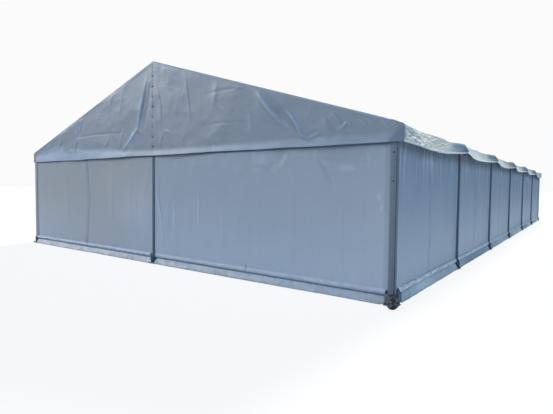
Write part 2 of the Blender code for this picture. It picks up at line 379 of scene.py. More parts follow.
def bumpNode(tree, height, strength, distance, **under):
    inputs = dict(Height=height, Strength=strength, Distance=distance, **under)
    return addNode(tree, "Bump", inputs).outputs["Normal"]


# Node groups that the finishes share

def coatedWeave(group, given):
    # the base cloth's threads, which show faintly through the coating
    inputs = dict(Vector=coordinates(group), Scale=given["Threads"])
    waves = [addNode(group, "TexWave", inputs, bands_direction=way).outputs["Fac"] for way in "XYZ"]
    total = mathNode(group, "ADD", mathNode(group, "ADD", waves[0], waves[1]), waves[2])
    return dict(Height=times(group, total, 0.333))


def softMottle(group, given):
    # broad, soft changes of tone over a sheet
    noise = noiseNode(group, mathNode(group, "DIVIDE", 1.0, given["Size"]), 4.0, 0.6)
    spread = times(group, mathNode(group, "SUBTRACT", noise, 0.5), given["Contrast"])
    return dict(Mask=mathNode(group, "ADD", spread, 0.5, clamp=True))


def rainStain(group, given):
    # splashed dirt near the ground, and runs that rain has drawn down the sheet
    height = addNode(group, "SeparateXYZ", {0: pointOn(group)}).outputs["Z"]
    foot = mathNode(group, "SUBTRACT", 1.0, mathNode(group, "DIVIDE", height, given["Foot"]), clamp=True)
    splash = noiseNode(group, 1.0, 5.0, 0.7, (9, 9, 14))
    drawn = noiseNode(group, 1.0, 4.0, 0.65, (11, 11, 0.35))
    footMask = times(group, foot, rampNode(group, splash, 0.42, 0.72))
    runs = times(group, rampNode(group, drawn, 0.52, 0.78), given["Runs"])
    return dict(Mask=mathNode(group, "ADD", footMask, runs, clamp=True))


def paintedShadingAndWrinkles(group, given):
    # painted highlights on creases' crests, broken by noise; dark lines of seams and of painted shade; pale
    # marks of hems and of painted light; and wrinkles, all from what the meshes carry
    crease, line, tone, wrinkle = (
        addNode(group, "Attribute", attribute_name=mark).outputs["Fac"]
        for mark in ("crease", "line", "tone", "wrinkle")
    )
    patchy = rampNode(group, noiseNode(group, 22.0, 4.0, 0.7), 0.2, 0.52)
    paintedMarks = times(group, times(group, crease, patchy), given["Wear"])
    ridges = addNode(
        group, "TexNoise",
        dict(Vector=coordinates(group, (1, 0.35, 1)), Scale=13.0, Detail=3.0, Roughness=0.55, Offset=0.9,
             Gain=2.0),
        noise_type="RIDGED_MULTIFRACTAL", normalize=False,
    )
    return dict(
        Light=mathNode(group, "MAXIMUM", paintedMarks, 0.0, clamp=True),
        Dark=times(group, line, given["Line"], clamp=True),
        Tone=tone,
        Height=times(group, ridges.outputs["Fac"], wrinkle),
    )


def newGroup(build, **values):
    # a node group named after the function that fills it, with its inputs' first values
    group = bpy.data.node_groups.new(build.__name__, "ShaderNodeTree")
    for label, value in values.items():
        socket = group.interface.new_socket(name=label, in_out="INPUT", socket_type="NodeSocketFloat")
        socket.default_value = value
    found = build(group, group.nodes.new("NodeGroupInput").outputs)
    for label in found:
        group.interface.new_socket(name=label, in_out="OUTPUT", socket_type="NodeSocketFloat")
    feed(group, group.nodes.new("NodeGroupOutput"), found)
    return group


weaveGroup = newGroup(coatedWeave, Threads=900.0)
mottleGroup = newGroup(softMottle, Size=1.0, Contrast=1.0)
stainGroup = newGroup(rainStain, Foot=0.35, Runs=0.3)
creaseGroup = newGroup(paintedShadingAndWrinkles, Wear=0.5, Line=0.5)


def placeGroup(tree, group, values):
    return addNode(tree, "Group", values, node_tree=group).outputs


def newMaterial(name):
    material = bpy.data.materials.new(name)
    material.use_nodes = True
    return material, material.node_tree, material.node_tree.nodes["Principled BSDF"]


# Sheeting

clothShared = dict(
    # light is the pale colour of random tone, hems, painted light and painted highlights; dark is that of
    # seams and painted shade
    light=(0.66, 0.76, 0.88),
    dark=(0.10, 0.15, 0.22),
    stain=(0.20, 0.23, 0.25),
    rough=0.44,
    glossSpread=0.16,  # how much the fine mottle changes the roughness
    stainRough=0.25,  # and how much stains add to it
    sheen=0.45,
    broad=dict(Size=1.3, Contrast=2.2),
    fine=dict(Size=0.07, Contrast=1.2),
    crestLight=dict(Wear=0.75, Line=0.8),
    dirt=dict(Foot=0.3, Runs=0.2),
    threads=dict(Threads=260.0),
    fineShare=0.10,
    stainShare=0.45,
    weaveShare=0.04,
    ripple=(16.0, 3.0, 0.5),  # scale, detail and roughness
    rippleBump=(0.35, 0.006),  # strength and distance
    wrinkleBump=(1.0, 0.010),
)
# copies of one white sheeting, each tinted to paint the light and shade that fall on its part of the tent:
# the side walls bluest, the plain gable halves bluer than the lapped ones, the roof palest, with a bluer dark
# for the roof's painted shade
clothLooks = dict(
    triangle=dict(colour=(0.228, 0.268, 0.314), second=(0.202, 0.248, 0.306), light=(0.40, 0.585, 0.83)),
    wallLeft=dict(colour=(0.39, 0.395, 0.393), second=(0.35, 0.37, 0.40), light=(0.54, 0.66, 0.85)),
    wallRight=dict(colour=(0.33, 0.39, 0.46), second=(0.35, 0.405, 0.47), light=(0.64, 0.76, 0.93)),
    sideWall=dict(colour=(0.237, 0.332, 0.437), second=(0.215, 0.310, 0.42), light=(0.90, 0.985, 1.0)),
    roof=dict(
        colour=(0.47, 0.53, 0.49), second=(0.42, 0.475, 0.47), light=(0.70, 0.78, 0.76),
        dark=(0.085, 0.165, 0.275), rough=0.60, sheen=0.12,
    ),
)


def clothMaterial(name, look):
    material, tree, shader = newMaterial(name)
    broad, fine = (placeGroup(tree, mottleGroup, look[size])["Mask"] for size in ("broad", "fine"))
    paintedMarks = placeGroup(tree, creaseGroup, look["crestLight"])
    dirt = placeGroup(tree, stainGroup, look["dirt"])["Mask"]
    weave = placeGroup(tree, weaveGroup, look["threads"])["Height"]
    base = mixColour(tree, broad, look["colour"], look["second"])
    # mixes in random pale tone, the meshes' pale marks (hems and painted light), painted highlights on
    # crests, stains, and the meshes' dark lines (seams and painted shade)
    for share, layer in (
        (times(tree, fine, look["fineShare"]), "light"), (paintedMarks["Tone"], "light"), (paintedMarks["Light"], "light"),
        (times(tree, dirt, look["stainShare"]), "stain"), (paintedMarks["Dark"], "dark"),
    ):
        base = mixColour(tree, share, base, look[layer])
    spread = look["glossSpread"]
    gloss = mathNode(tree, "MULTIPLY_ADD", fine, spread, look["rough"] - spread / 2)
    height = mathNode(tree, "ADD", times(tree, weave, look["weaveShare"]), noiseNode(tree, *look["ripple"]))
    ripple = bumpNode(tree, height, *look["rippleBump"])
    feed(tree, shader, {
        "Base Color": base,
        "Roughness": mathNode(tree, "ADD", gloss, times(tree, dirt, look["stainRough"])),
        "Normal": bumpNode(tree, paintedMarks["Height"], *look["wrinkleBump"], Normal=ripple),
        "Specular IOR Level": look["sheen"],
    })
    return material


cloths = {name: clothMaterial(name + "Sheeting", clothShared | look) for name, look in clothLooks.items()}


# Metal, castings and rubber

metalShared = dict(
    rough=0.42,
    metallic=0.40,
    broad=dict(Size=0.25, Contrast=2.0),
    grain=(1.0, 4.0, 0.6, (90, 90, 3)),  # scale, detail, roughness and stretch
    scratches=0.35,
    bump=(0.25, 0.001),
    rust=(38.0, 6.0, 0.75),
    foot=0.16,  # how high the rusted foot reaches
    footFade=0.03,
    footColours=((0.02, 0.022, 0.026), (0.22, 0.25, 0.27)),
    spotLimits=(0.48, 0.62),
    glossSpread=0.25,
    seal=0.0,  # the dark seal down the outer side of each leg
    sealEdges=((4.508, 4.511), (4.522, 4.519)),
    sealColour=(0.03, 0.045, 0.07),
    dust=0.0,  # dust lying over the ground plates
    dustHeight=(0.014, 0.0105),
    dustColour=(0.50, 0.56, 0.62),
)
metalLooks = dict(
    legAluminium=dict(colour=(0.165, 0.215, 0.28), second=(0.205, 0.255, 0.32), seal=0.9, dust=0.85),
    postAluminium=dict(colour=(0.085, 0.12, 0.155), second=(0.11, 0.15, 0.19), dust=0.85),
    # a copy of the leg aluminium painted paler, as lit from the left, for two corner legs
    litAluminium=dict(colour=(0.36, 0.40, 0.43), second=(0.42, 0.45, 0.48), metallic=0.20, dust=0.85),
    blackSteel=dict(colour=(0.03, 0.033, 0.038), second=(0.06, 0.06, 0.065), rough=0.5),
    mottledCastIron=dict(
        colour=(0.03, 0.035, 0.045), second=(0.10, 0.115, 0.13), rough=0.6, metallic=0.2, foot=0.60,
    ),
    armAluminium=dict(colour=(0.12, 0.165, 0.215), second=(0.16, 0.205, 0.26), metallic=0.35, foot=0.02),
    darkCasting=dict(
        colour=(0.035, 0.075, 0.115), second=(0.055, 0.10, 0.145), rough=0.6, metallic=0.2, foot=0.02,
    ),
    blackRubber=dict(colour=(0.012, 0.014, 0.018), second=(0.03, 0.03, 0.032), rough=0.6, metallic=0.0),
)


def metalMaterial(name, look):
    material, tree, shader = newMaterial(name)
    grain, rust = noiseNode(tree, *look["grain"]), noiseNode(tree, *look["rust"])
    at = addNode(tree, "SeparateXYZ", {0: pointOn(tree)}).outputs
    broad = placeGroup(tree, mottleGroup, look["broad"])["Mask"]
    base = mixColour(tree, broad, look["colour"], look["second"])
    scratched = tuple(0.6 * part for part in look["colour"])
    base = mixColour(tree, times(tree, grain, look["scratches"]), base, scratched)
    low = rampNode(tree, at["Z"], look["foot"], look["foot"] - look["footFade"])
    rusted = mixColour(tree, rampNode(tree, rust, *look["spotLimits"]), *look["footColours"])
    base = mixColour(tree, low, base, rusted)
    if look["seal"]:
        across = mathNode(tree, "ABSOLUTE", at["X"])
        sealed = times(tree, *(rampNode(tree, across, *edges) for edges in look["sealEdges"]))
        base = mixColour(tree, times(tree, sealed, look["seal"]), base, look["sealColour"])
    if look["dust"]:
        dusty = times(tree, rampNode(tree, at["Z"], *look["dustHeight"]), look["dust"])
        base = mixColour(tree, dusty, base, look["dustColour"])
    feed(tree, shader, {
        "Base Color": base,
        "Metallic": times(tree, mathNode(tree, "SUBTRACT", 1.0, low), look["metallic"]),
        "Roughness": mathNode(tree, "MULTIPLY_ADD", grain, look["glossSpread"], look["rough"]),
        "Normal": bumpNode(tree, mathNode(tree, "ADD", grain, rust), *look["bump"]),
    })
    return material


metals = {name: metalMaterial(name, metalShared | look) for name, look in metalLooks.items()}
print("materials made,", len(bpy.data.materials))


# Walls: a curtain hung from a rail, a pocket round the ground rail and a flap on the ground

wall = dict(
    columnStep=0.020,
    rows=24,
    gableRows=30,
    rowsFrom=0.04,  # below the top, and closer together there than at the foot
    rowPower=1.15,
    foot=0.187,  # where the pocket starts
    tongueFoot=0.014,
    underHem=(1.943, 1.934, 1.922),  # rows that hold the shadow right under the gable's hem
    heldOver=0.10,  # the curtain lies flat this near to its frames
    shade=0.20,  # how much painted shade darkens the cloth under the eave
    lit=0.28,  # and how much painted light pales it at its foot
    jointHalf=0.003,  # half the dark line where two ground rails meet
    pocket=(  # out from the curtain's face and height, round the ground rail
        (0.012, 0.183), (0.025, 0.170), (0.031, 0.150), (0.027, 0.130), (0.013, 0.115),
        (0.000, 0.109), (-0.014, 0.109), (-0.027, 0.116), (-0.030, 0.133), (-0.030, 0.162),
        (-0.024, 0.177), (-0.007, 0.185),
    ),
    wrinkles=(0.11, 0.045),  # sizes of the pocket's large and small wrinkles
    flapReach=0.060,
    flapTop=0.1135,
    flapRows=7,
    flapDrawn=0.007,  # how far its edge is drawn in where it lifts
    flapWaver=0.004,  # and how much it wavers
    flapWave=0.006,
    flapLift=0.010,  # the highest that the flap's edge stands off the ground
)


def curtainRows(top, onGable):
    # from the top down: close pairs at the top and at the legs' top, then wider rows to the pocket
    eave = hall["legTop"]
    upper = [top, top - grid["edge"]] + [eave + grid["edge"], eave - grid["edge"]] * (top > eave)
    start = min(top, eave) - wall["rowsFrom"]
    shares = np.linspace(0, 1, wall["gableRows" if onGable else "rows"]) ** wall["rowPower"]
    lower = start - (start - wall["foot"] - grid["edge"]) * shares
    rows = np.concatenate([upper, lower, [wall["foot"]], wall["underHem"] if onGable else []])
    return np.sort(rows)[::-1]


def curtainPatch(place, flip, heights, side, a, short):
    low, high, seed = side["low"], side["high"], side["seed"]
    rows = curtainRows(side["top"], side["onGable"])
    gridA, gridZ = np.meshgrid(a, rows)
    swell, marks = heights(gridA, gridZ)
    held = ease((gridA - low) / wall["heldOver"]) * ease((high - gridA) / wall["heldOver"])
    pocketOut, pocketZ = np.array(wall["pocket"]).T
    pocketA, outs = np.meshgrid(a, pocketOut)
    zs = np.meshgrid(a, pocketZ)[1]
    large, small = wall["wrinkles"]
    rolled = crumple(pocketA, zs * 3, large, seed) + 0.6 * crumple(pocketA, zs * 2, small, seed + 5)
    front = ease((outs + 0.004) / 0.012)
    outs = outs + side["crumple"] * rolled * front
    zs = zs + 0.35 * side["crumple"] * rolled
    inPocket = (a >= short[0]) & (a <= short[1])
    # beside the shoes the curtain goes on down as a plain tongue
    down = np.linspace(hall["cheekTop"], wall["tongueFoot"], len(pocketZ))[:, None]
    outs = np.where(inPocket, outs, 0.0)
    zs = np.where(inPocket, zs, down)
    aAll, zAll = np.concatenate([gridA, pocketA]), np.concatenate([gridZ, zs])
    # above the legs' tops the curtain's edges are drawn in to the frames' faces
    aboveLeg = np.clip(aAll, low + 0.0006, high - 0.0006)
    aAll = np.where(zAll > hall["legTop"], aboveLeg + 0.02 * (aAll - aboveLeg), aAll)
    cells = np.ones((len(zAll) - 1, len(a) - 1), bool)
    clear = (a > low + side["tongueGap"]) & (a < high - side["tongueGap"])
    tongued = ~inPocket[:-1] & ~inPocket[1:] & clear[:-1] & clear[1:]
    cells[len(rows):, ~(inPocket[:-1] & inPocket[1:] | tongued)] = False

    def both(curtain, pocket):
        # a mark's values on the curtain's rows and on the pocket's rows below them
        return np.concatenate([curtain * np.ones(gridA.shape), pocket * np.ones(pocketA.shape)])

    # a painted highlight where the pocket at a side wall's near end catches the sun
    endGlint = 1 + 0.9 * (side["hemTone"] >= 1) * bell((pocketA - short[0]) / 0.09)
    # painted highlights on the pocket's crumples where they face out, paler on the side walls
    pocketHighlight = side["hemTone"] * front * inPocket * (0.55 + 0.9 * np.clip(rolled, 0, 1)) * endGlint
    # painted shade under the eave and painted light towards the foot
    eaveShade = wall["shade"] * ease((gridZ - 0.9) / 1.1)
    footLight = wall["lit"] * ease((1.35 - gridZ) / 1.25)
    # painted shadow in the crease under the pocket
    line = both(marks["line"] + eaveShade, 0.7 * ease((0.121 - zs) / 0.006) * inPocket)
    for joint in side["joints"]:
        near = (np.abs(aAll - joint) < wall["jointHalf"]) & (zAll < wall["foot"] + 0.01)
        line = np.maximum(line, near * 0.9)
    nearFoot = ease((wall["foot"] + 0.12 - gridZ) / 0.12) * 0.25
    return patch(place(aAll, both(swell * held, 0) + both(0, outs), zAll), flip, dict(
        crease=both(marks["crease"], 0),
        tone=both(np.maximum(marks["tone"], footLight), pocketHighlight),
        line=line,
        wrinkle=both(nearFoot, 1) * side["packed"],
    ), cells)


def flapPatch(place, flip, side, a):
    low, high, seed = side["low"], side["high"], side["seed"]
    a, share = np.meshgrid(a, np.linspace(0, 1, wall["flapRows"]))
    flat = a * 0
    lift = 0.5 + 0.5 * softNoise(a, flat, 0.33, seed + 9)
    reach = wall["flapReach"] - wall["flapDrawn"] * lift
    reach = reach + wall["flapWaver"] * softNoise(a, share, 0.16, seed + 11)
    wave = wall["flapWave"] * np.sin(math.pi * share) * softNoise(a, share * 0.2, 0.12, seed + 12)
    bottom = hall["cloth"] + (wall["flapLift"] - hall["cloth"]) * lift ** 3
    z = wall["flapTop"] + (bottom - wall["flapTop"]) * share
    ground = 0.0015 + hall["plateTop"] * (np.minimum(a - low, high - a) < hall["plateReach"])
    nearTone, farTone = side["flapTones"]
    paler = nearTone + (farTone - nearTone) * (a - low) / (high - low)
    footShadow = 0.5 * ease((share - 0.84) / 0.16) * ease((high - a) / 2.4)
    # painted light paling the flap by its flapTones from near end to far end, broken by noise; a painted
    # highlight along its middle; painted shadow under the pocket and along its foot, fading towards the far
    # end
    marks = dict(
        tone=paler * (0.55 + 0.45 * softNoise(a, flat, 0.7, seed + 14)),
        crease=0.2 * bell((share - 0.45) / 0.1),
        line=np.maximum(0.9 * ease((0.10 - share) / 0.10), footShadow),
        wrinkle=flat + 0.30 * side["packed"],
    )
    out = -0.002 + (reach + 0.002) * share + wave
    return patch(place(a, out, np.maximum(z, ground + hall["cloth"])), flip, marks)


def wallPatches(place, flip, heights, side):
    # heights(a, z) gives the curtain's swell outwards and its marks, and side holds the wall's own
    # values: low and high are its frames' faces, over is its reach into their channels, clears are
    # from the frames to the pocket, and tongueGap is from a frame to the tongue next to it
    low, high = side["low"], side["high"]
    short = (low + side["clears"][0], high - side["clears"][1])
    count = int((high - low) / wall["columnStep"])
    a = spaced(low - side["over"], high + side["over"], count, extra=[*short, *side["joints"]])
    side["packed"] = min((side["crumple"] / 0.006) ** 2, 1.2)
    flapA = a[(a >= short[0]) & (a <= short[1])]
    return [curtainPatch(place, flip, heights, side, a, short), flapPatch(place, flip, side, flapA)]


# Side walls

sideWall = dict(
    pleats=17,
    pleatRise=0.030,
    pleatWide=(0.016, 0.040),
    pleatLean=0.05,
    shortRun=(0.18, 0.55),
    longRun=(0.8, 1.5),  # every fourth pleat
    brightPleat=1.42,  # from the near frame, where a painted highlight runs down one pleat
    longFolds=((0.5, 1.0), (1.7, 2.0), (2.3, 2.7)),
    longFold=(0.05, 0.009),  # their width and rise
    edgeBand=0.062,  # the doubled strip along each beaded edge
    seamAt=1.34,  # the welded seam between two widths of sheeting
    seamLap=0.045,
    seamRise=0.004,
    seamHollow=0.007,  # beside the seam
    joint=1.47,  # where two lengths of ground rail meet
    swell=0.016,
    crumpled=0.0025,
    flat=(2.96, 2.25),
)


def pleatedCurtain(bay, leftSide):
    # a side curtain gathered a little on its top rail: pleats that run out further down
    draw = np.random.default_rng(400 + 7 * bay + (50 if leftSide else 0))
    pleats = []
    for number in range(sideWall["pleats"]):
        at = 0.10 + (number + draw.uniform(0.05, 0.95)) * 2.80 / sideWall["pleats"]
        run = draw.uniform(*sideWall["shortRun" if number % 4 else "longRun"])
        wide, strength = draw.uniform(*sideWall["pleatWide"]), draw.uniform(0.25, 1.0)
        pleats.append((at, wide, strength, run, draw.uniform(-sideWall["pleatLean"], sideWall["pleatLean"])))
    pleats.append((sideWall["brightPleat"], 0.015, 0.7, 0.22, 0.0))
    longFolds = [draw.uniform(*limits) for limits in sideWall["longFolds"]]

    def heights(a, z):
        down = np.maximum(hall["legTop"] - z, 0)
        rise, crease, dark = np.zeros(a.shape), np.zeros(a.shape), np.zeros(a.shape)
        for at, wide, strength, run, lean in pleats:
            fade = np.exp(-(down / run) ** 1.5)
            gap = (a - at - lean * down) / (wide * (1 + 0.8 * down))
            rise += sideWall["pleatRise"] * strength * fade * bell(gap)
            # painted highlights on the pleats' crests near the top, and painted shade beside each pleat
            crease = np.maximum(crease, strength * bell(down / 0.38) * bell(gap * 1.8))
            dark = np.maximum(dark, 0.30 * strength * fade * bell((gap - 1.3) * 1.7))
        foldWide, foldRise = sideWall["longFold"]
        for at in longFolds:
            gap = (a - at - 0.03 * np.sin(2.1 * down + at)) / foldWide
            rise += foldRise * bell(gap) * ease(1.6 - 0.5 * down)
        over = a - (sideWall["seamAt"] + 0.035 * down / 1.6 + 0.012 * np.sin(2.6 * z + bay))
        lap = ease((over + 0.004) / 0.006) * ease((sideWall["seamLap"] - over) / 0.02)
        rise += sideWall["seamRise"] * lap
        rise -= sideWall["seamHollow"] * bell((over + 0.012) / 0.016)
        line = np.maximum(0.75 * bell((over + 0.004) / 0.007), dark)
        # painted shadow under the eave flap
        line = np.maximum(line, 0.55 * ease((0.30 - down) / 0.16))
        broad = softNoise(a, z, 0.9, 60 + bay) + 0.4 * softNoise(a, z, 0.35, 90 + bay)
        bulge = np.sin(math.pi * np.clip(a / 3, 0, 1)) * np.sin(math.pi * np.clip(down / 1.9, 0, 1))
        rise += sideWall["swell"] * (bulge + 0.5 * broad)
        rise += sideWall["crumpled"] * crumple(a, z * 0.25, 0.10, 130 + bay)
        fromEdge = np.minimum(a, hall["bay"] - a) - hall["legHalf"]
        # a painted highlight down that pleat
        bright = 0.9 * bell((a - sideWall["brightPleat"]) / 0.020) * bell((down - 0.26) / 0.14)
        tone = np.maximum(0.30 * ease((sideWall["edgeBand"] - fromEdge) / 0.006), bright)
        line = line + 0.35 * bell((fromEdge - sideWall["edgeBand"]) / 0.005)
        # painted shade, darker towards the far frame
        line = line + 0.12 * ease((a - 1.0) / 2.0)
        return rise - 0.004, dict(crease=crease, line=line, tone=tone)

    return heights


def addSideWalls():
    for bay in range(bayCount):
        start = bay * hall["bay"] - halfLength
        corners = (bay == 0, bay == bayCount - 1)
        clears = [hall["cornerClear" if corner else "shoeClear"] for corner in corners]
        for name, sign in (("right", 1), ("left", -1)):

            def place(a, out, z, sign=sign, start=start):
                return np.stack([sign * (hall["wallFace"] + out), start + a, z], axis=-1)

            patches = wallPatches(place, sign < 0, pleatedCurtain(bay, sign < 0), dict(
                low=hall["legHalf"], high=hall["bay"] - hall["legHalf"], over=0.006, top=hall["sideTop"],
                clears=clears, joints=(sideWall["joint"],), tongueGap=hall["tongueClear"], onGable=False,
                seed=200 + 10 * bay + sign, crumple=0.008, hemTone=1.15, flapTones=(0.75, 1.15),
            ))
            piece = addSheet(f"curtain_{name}_{bay + 1}", patches, cloths["sideWall"])
            finishSheet(piece, [f"side_wall_{name}_{bay + 1}"])


addSideWalls()
print("side walls hung")


# Gable walls

gableWall = dict(
    # routes in metres from the centre post and up; then width, rise, lean and the strength of the painted
    # highlight along the crest
    right=(
        (((0.58, 1.20), (0.56, 0.60)), 0.022, 0.006, 0.3, 0.5),
        (((1.18, 1.28), (1.17, 0.72)), 0.022, 0.006, 0.3, 0.4),
        (((1.72, 0.97), (1.70, 0.57)), 0.022, 0.005, 0.3, 0.35),
        (((0.27, 0.79), (0.24, 0.40)), 0.020, 0.006, 0.3, 0.5),
        (((0.14, 1.62), (0.10, 1.25), (0.23, 0.80), (0.21, 0.44)), 0.030, 0.012, 0.4, 0.5),
        (((0.40, 1.10), (0.43, 0.70)), 0.030, 0.006),
        (((2.24, 1.90), (2.36, 1.70), (2.62, 1.66), (2.88, 1.92)), 0.026, -0.010, 0.3),
        (((2.31, 1.80), (2.68, 1.72)), 0.060, 0.008, 0.2, 0.5),
        (((2.92, 1.91), (2.72, 1.64)), 0.022, -0.010, 0.3, 0.5),
        (((2.72, 1.64), (2.36, 1.65)), 0.016, 0.006, 0.3, 0.5),
        (((3.30, 1.90), (3.46, 1.74), (3.60, 1.52), (3.68, 1.40)), 0.028, -0.012, -0.3),
        (((3.36, 1.88), (3.53, 1.69)), 0.025, 0.012, 0.3, 0.4),
        (((3.53, 1.69), (3.92, 1.65), (4.14, 1.75), (4.25, 1.88)), 0.030, 0.014, 0.3, 0.7),
        (((4.27, 1.29), (4.37, 1.30)), 0.018, 0.008, 0.0, 0.6),
        (((4.28, 1.12), (4.38, 1.20)), 0.018, 0.008, 0.0, 0.6),
        (((1.40, 1.55), (1.62, 1.56)), 0.020, 0.004, 0.0, 0.3),
        (((1.95, 1.70), (2.12, 1.60)), 0.030, 0.006, 0.0, 0.3),
    ),
    left=(
        (((0.46, 1.36), (0.48, 0.62)), 0.016, -0.005, 0.3),
        (((0.72, 1.70), (0.70, 0.70)), 0.050, 0.005, 0.3),
        (((1.30, 1.80), (1.33, 0.50)), 0.070, 0.006, 0.2),
        (((3.10, 1.85), (3.00, 0.60)), 0.080, 0.006, 0.2),
        (((0.12, 1.75), (0.30, 1.20)), 0.040, 0.006, 0.2),
    ),
    # patches of painted light (strength above 0) and painted shade (below 0)
    facets=(
        (0.04, ((2.35, 1.86), (2.83, 1.87), (2.80, 1.80), (2.72, 1.64), (2.34, 1.64), (2.43, 1.77))),
        (-0.15, ((2.92, 1.90), (2.98, 1.89), (2.79, 1.62), (2.71, 1.63))),
        (-0.15, ((3.40, 1.92), (3.60, 1.71), (3.86, 1.69), (4.10, 1.70), (4.29, 1.91))),
        (-0.22, ((3.36, 1.90), (3.42, 1.83), (3.68, 1.41), (3.62, 1.46), (3.47, 1.70))),
        (0.05, ((3.53, 1.71), (3.86, 1.70), (4.16, 1.68), (4.17, 1.65), (3.86, 1.66), (3.55, 1.68))),
        (0.06, ((4.22, 1.86), (4.30, 1.88), (4.14, 1.69), (4.08, 1.70))),
        (0.14, ((4.39, 1.21), (4.37, 1.17), (4.26, 1.04), (4.24, 1.07))),
    ),
    lap=((2.21, 1.95), (2.16, 1.50), (2.11, 1.10), (2.14, 0.70), (2.19, 0.28), (2.24, 0.15)),
    lapWide=0.130,
    lapRise=0.006,
    foldScale=1.6,
    edgeBand=0.070,  # the strip beside the corner leg, darkened by painted shade
    bandShade=0.26,
    joint=2.20,  # where two lengths of ground rail meet
    swell=0.020,
    crumpled=0.006,
    gather=0.0025,  # fine gathers under the rail
    shadowAt=1.922,  # the shadow under the gable sheet's hem
    flat=(4.40, 2.25),
)


def gableCurtain(folds, lapped, seed):
    def heights(a, z):
        rise, crease = foldField(a, z, folds)
        rise = rise * gableWall["foldScale"]
        atLeg = ease((a - hall["legInner"] + gableWall["edgeBand"]) / 0.006)
        pale, dull = facetField(a, z, () if lapped else gableWall["facets"])
        underHem = 0.85 * ease((z - gableWall["shadowAt"]) / 0.012)
        # the painted crest highlights are stronger low down
        crease = crease * (0.5 + 1.1 * ease((1.55 - z) / 0.2))
        # painted shade on the strip beside the corner leg and on facets turned away, and painted shadow under
        # the hem
        line = np.maximum(np.maximum(gableWall["bandShade"] * atLeg, dull), underHem)
        broad = softNoise(a, z, 1.3, seed) + 0.35 * softNoise(a, z, 0.4, seed + 1)
        rise += gableWall["swell"] * 0.5 * broad
        rise += gableWall["crumpled"] * crumple(a, z * 0.5, 0.30, seed + 2)
        if lapped:
            across, heightsUp = zip(*reversed(gableWall["lap"]))
            over = np.interp(z, heightsUp, across) - a
            lap = ease((over + gableWall["lapWide"]) / 0.030) * ease(-over / 0.006)
            rise += gableWall["lapRise"] * lap
            # the lap is a little paler, and painted light pales the wall low down near the centre post
            pale = 0.08 * lap + 0.34 * ease((1.9 - a) / 1.6) * ease((1.9 - z) / 1.2)
            line = line + 0.25 * lap + 0.6 * bell((over - 0.004) / 0.007)
        gather = np.sin(a * 41 + 3 * softNoise(a, z, 0.3, seed + 4)) * bell((hall["gableTop"] - z) / 0.16)
        return rise + gableWall["gather"] * gather, dict(crease=crease, line=line, tone=pale)

    return heights


def addGableWalls():
    face = gableFace - hall["gableRecess"]
    for end, endSign, name, sign in gableHalves:

        def place(a, out, z, sign=sign, end=endSign):
            return np.stack([sign * a, end * (face + out), z], axis=-1)

        plain = endSign * sign < 0
        heights = gableCurtain(gableWall["right" if plain else "left"], not plain, 300 if plain else 310)
        patches = wallPatches(place, not plain, heights, dict(
            low=hall["postHalf"], high=hall["legInner"], over=0.0, top=hall["gableTop"],
            clears=(hall["shoeClear"], hall["legClear"]),
            joints=(gableWall["joint"],), tongueGap=0.001, onGable=True,
            seed=320 + sign + endSign, crumple=0.0035, hemTone=0.45 if plain else 0.80,
            flapTones=(0.12, 0.25) if plain else (0.40, 0.40),
        ))
        piece = addSheet(f"gable_curtain_{end}_{name}", patches, cloths["wallRight" if plain else "wallLeft"])
        finishSheet(piece, [f"{end}_wall_{name}"])


addGableWalls()
print("gable walls hung")


# Roof sheeting

roof = dict(
    slopeParts=20,
    turnParts=10,
    flapParts=9,
    rows=106,
    between=0.0015,  # half the gap between two sheets
    over=0.001,  # the end sheets reach this far over the gables' faces
    tightPower=3.4,
    hold=0.034,
    flap=0.16,
    bead=(0.018, 0.006, 0.0035),  # the beaded edge: from the frame's middle, width and rise
    hem=(0.040, 0.0016),  # the welded hem's height and thickness
    rakePull=0.045,  # how far behind the gable the sheet starts, under the turned edge
    cornerPull=0.018,  # and behind the tent's corner
    pullOver=0.5,
    hood=0.020,  # each sheet's far end stands proud over the next one's start
    tuck=0.014,
    crushed=0.007,  # how rough the flap is
    creaseSizes=(0.085, 0.040),
    slack=0.006,  # how far the slope waves between the frames
    pulled=0.010,
    hemWave=0.007,
    stand=0.003,  # over the sections given below
    stretch=0.33,  # the flap's creases run along it
    flat=(3.02, 10.10),
    # the hem's height along a bay, between a frame and the next
    hemBetween=(
        (0.0, 2.008), (0.10, 1.985), (0.16, 1.962), (0.30, 1.946), (0.5, 1.950), (0.72, 1.976),
        (0.9, 2.003), (1.0, 2.015),
    ),
    hemFirst=(
        (0.0, 1.950), (0.33, 1.917), (0.46, 1.914), (0.60, 1.927), (0.75, 1.956), (0.9, 1.988),
        (1.0, 2.015),
    ),
)
# the sheet's section on a frame, at a gable and at mid bay: where the turn starts, its radius,
# the flap's steepness, the hem's height and how far the slope hangs
sections = dict(
    onFrame=(4.515, 0.140, 62, 2.015, 0.0),
    atGable=(4.549, 0.045, 90, 1.950, 0.0),
    midBay=(4.470, 0.060, 68, 1.915, 0.012),
)


def roofHeight(x):
    return hall["ridge"] - np.abs(x) * slope


def halfSection(name):
    # from the ridge down to the hem of the eave flap, underside
    shoulder, radius, steepness, hem, sag = sections[name]
    last = math.radians(steepness)
    points = []
    for n in range(roof["slopeParts"]):
        share = n / roof["slopeParts"]
        x = shoulder * share
        points.append((x, roofHeight(x) - sag * math.sin(math.pi / 2 * share) ** 2))
    startZ = roofHeight(shoulder) - sag
    for n in range(roof["turnParts"] + 1):
        angle = hall["pitch"] + (last - hall["pitch"]) * n / roof["turnParts"]
        x = shoulder + radius * (math.sin(angle) - math.sin(hall["pitch"]))
        z = startZ - radius * (math.cos(hall["pitch"]) - math.cos(angle))
        points.append((x, z))
    for n in range(1, roof["flapParts"] + 1):
        drop = (z - hem) * n / roof["flapParts"]
        points.append((x + drop / math.tan(last), z - drop))
    return np.array(points)


def wholeSection(name):
    half = halfSection(name)
    return np.concatenate([half[:0:-1] * (-1, 1), half])


def outwards(points):
    # unit normals of a section that runs left to right over the ridge
    along = np.gradient(points, axis=0)
    along /= np.linalg.norm(along, axis=1, keepdims=True)
    return np.stack([-along[:, 1], along[:, 0]], axis=1)


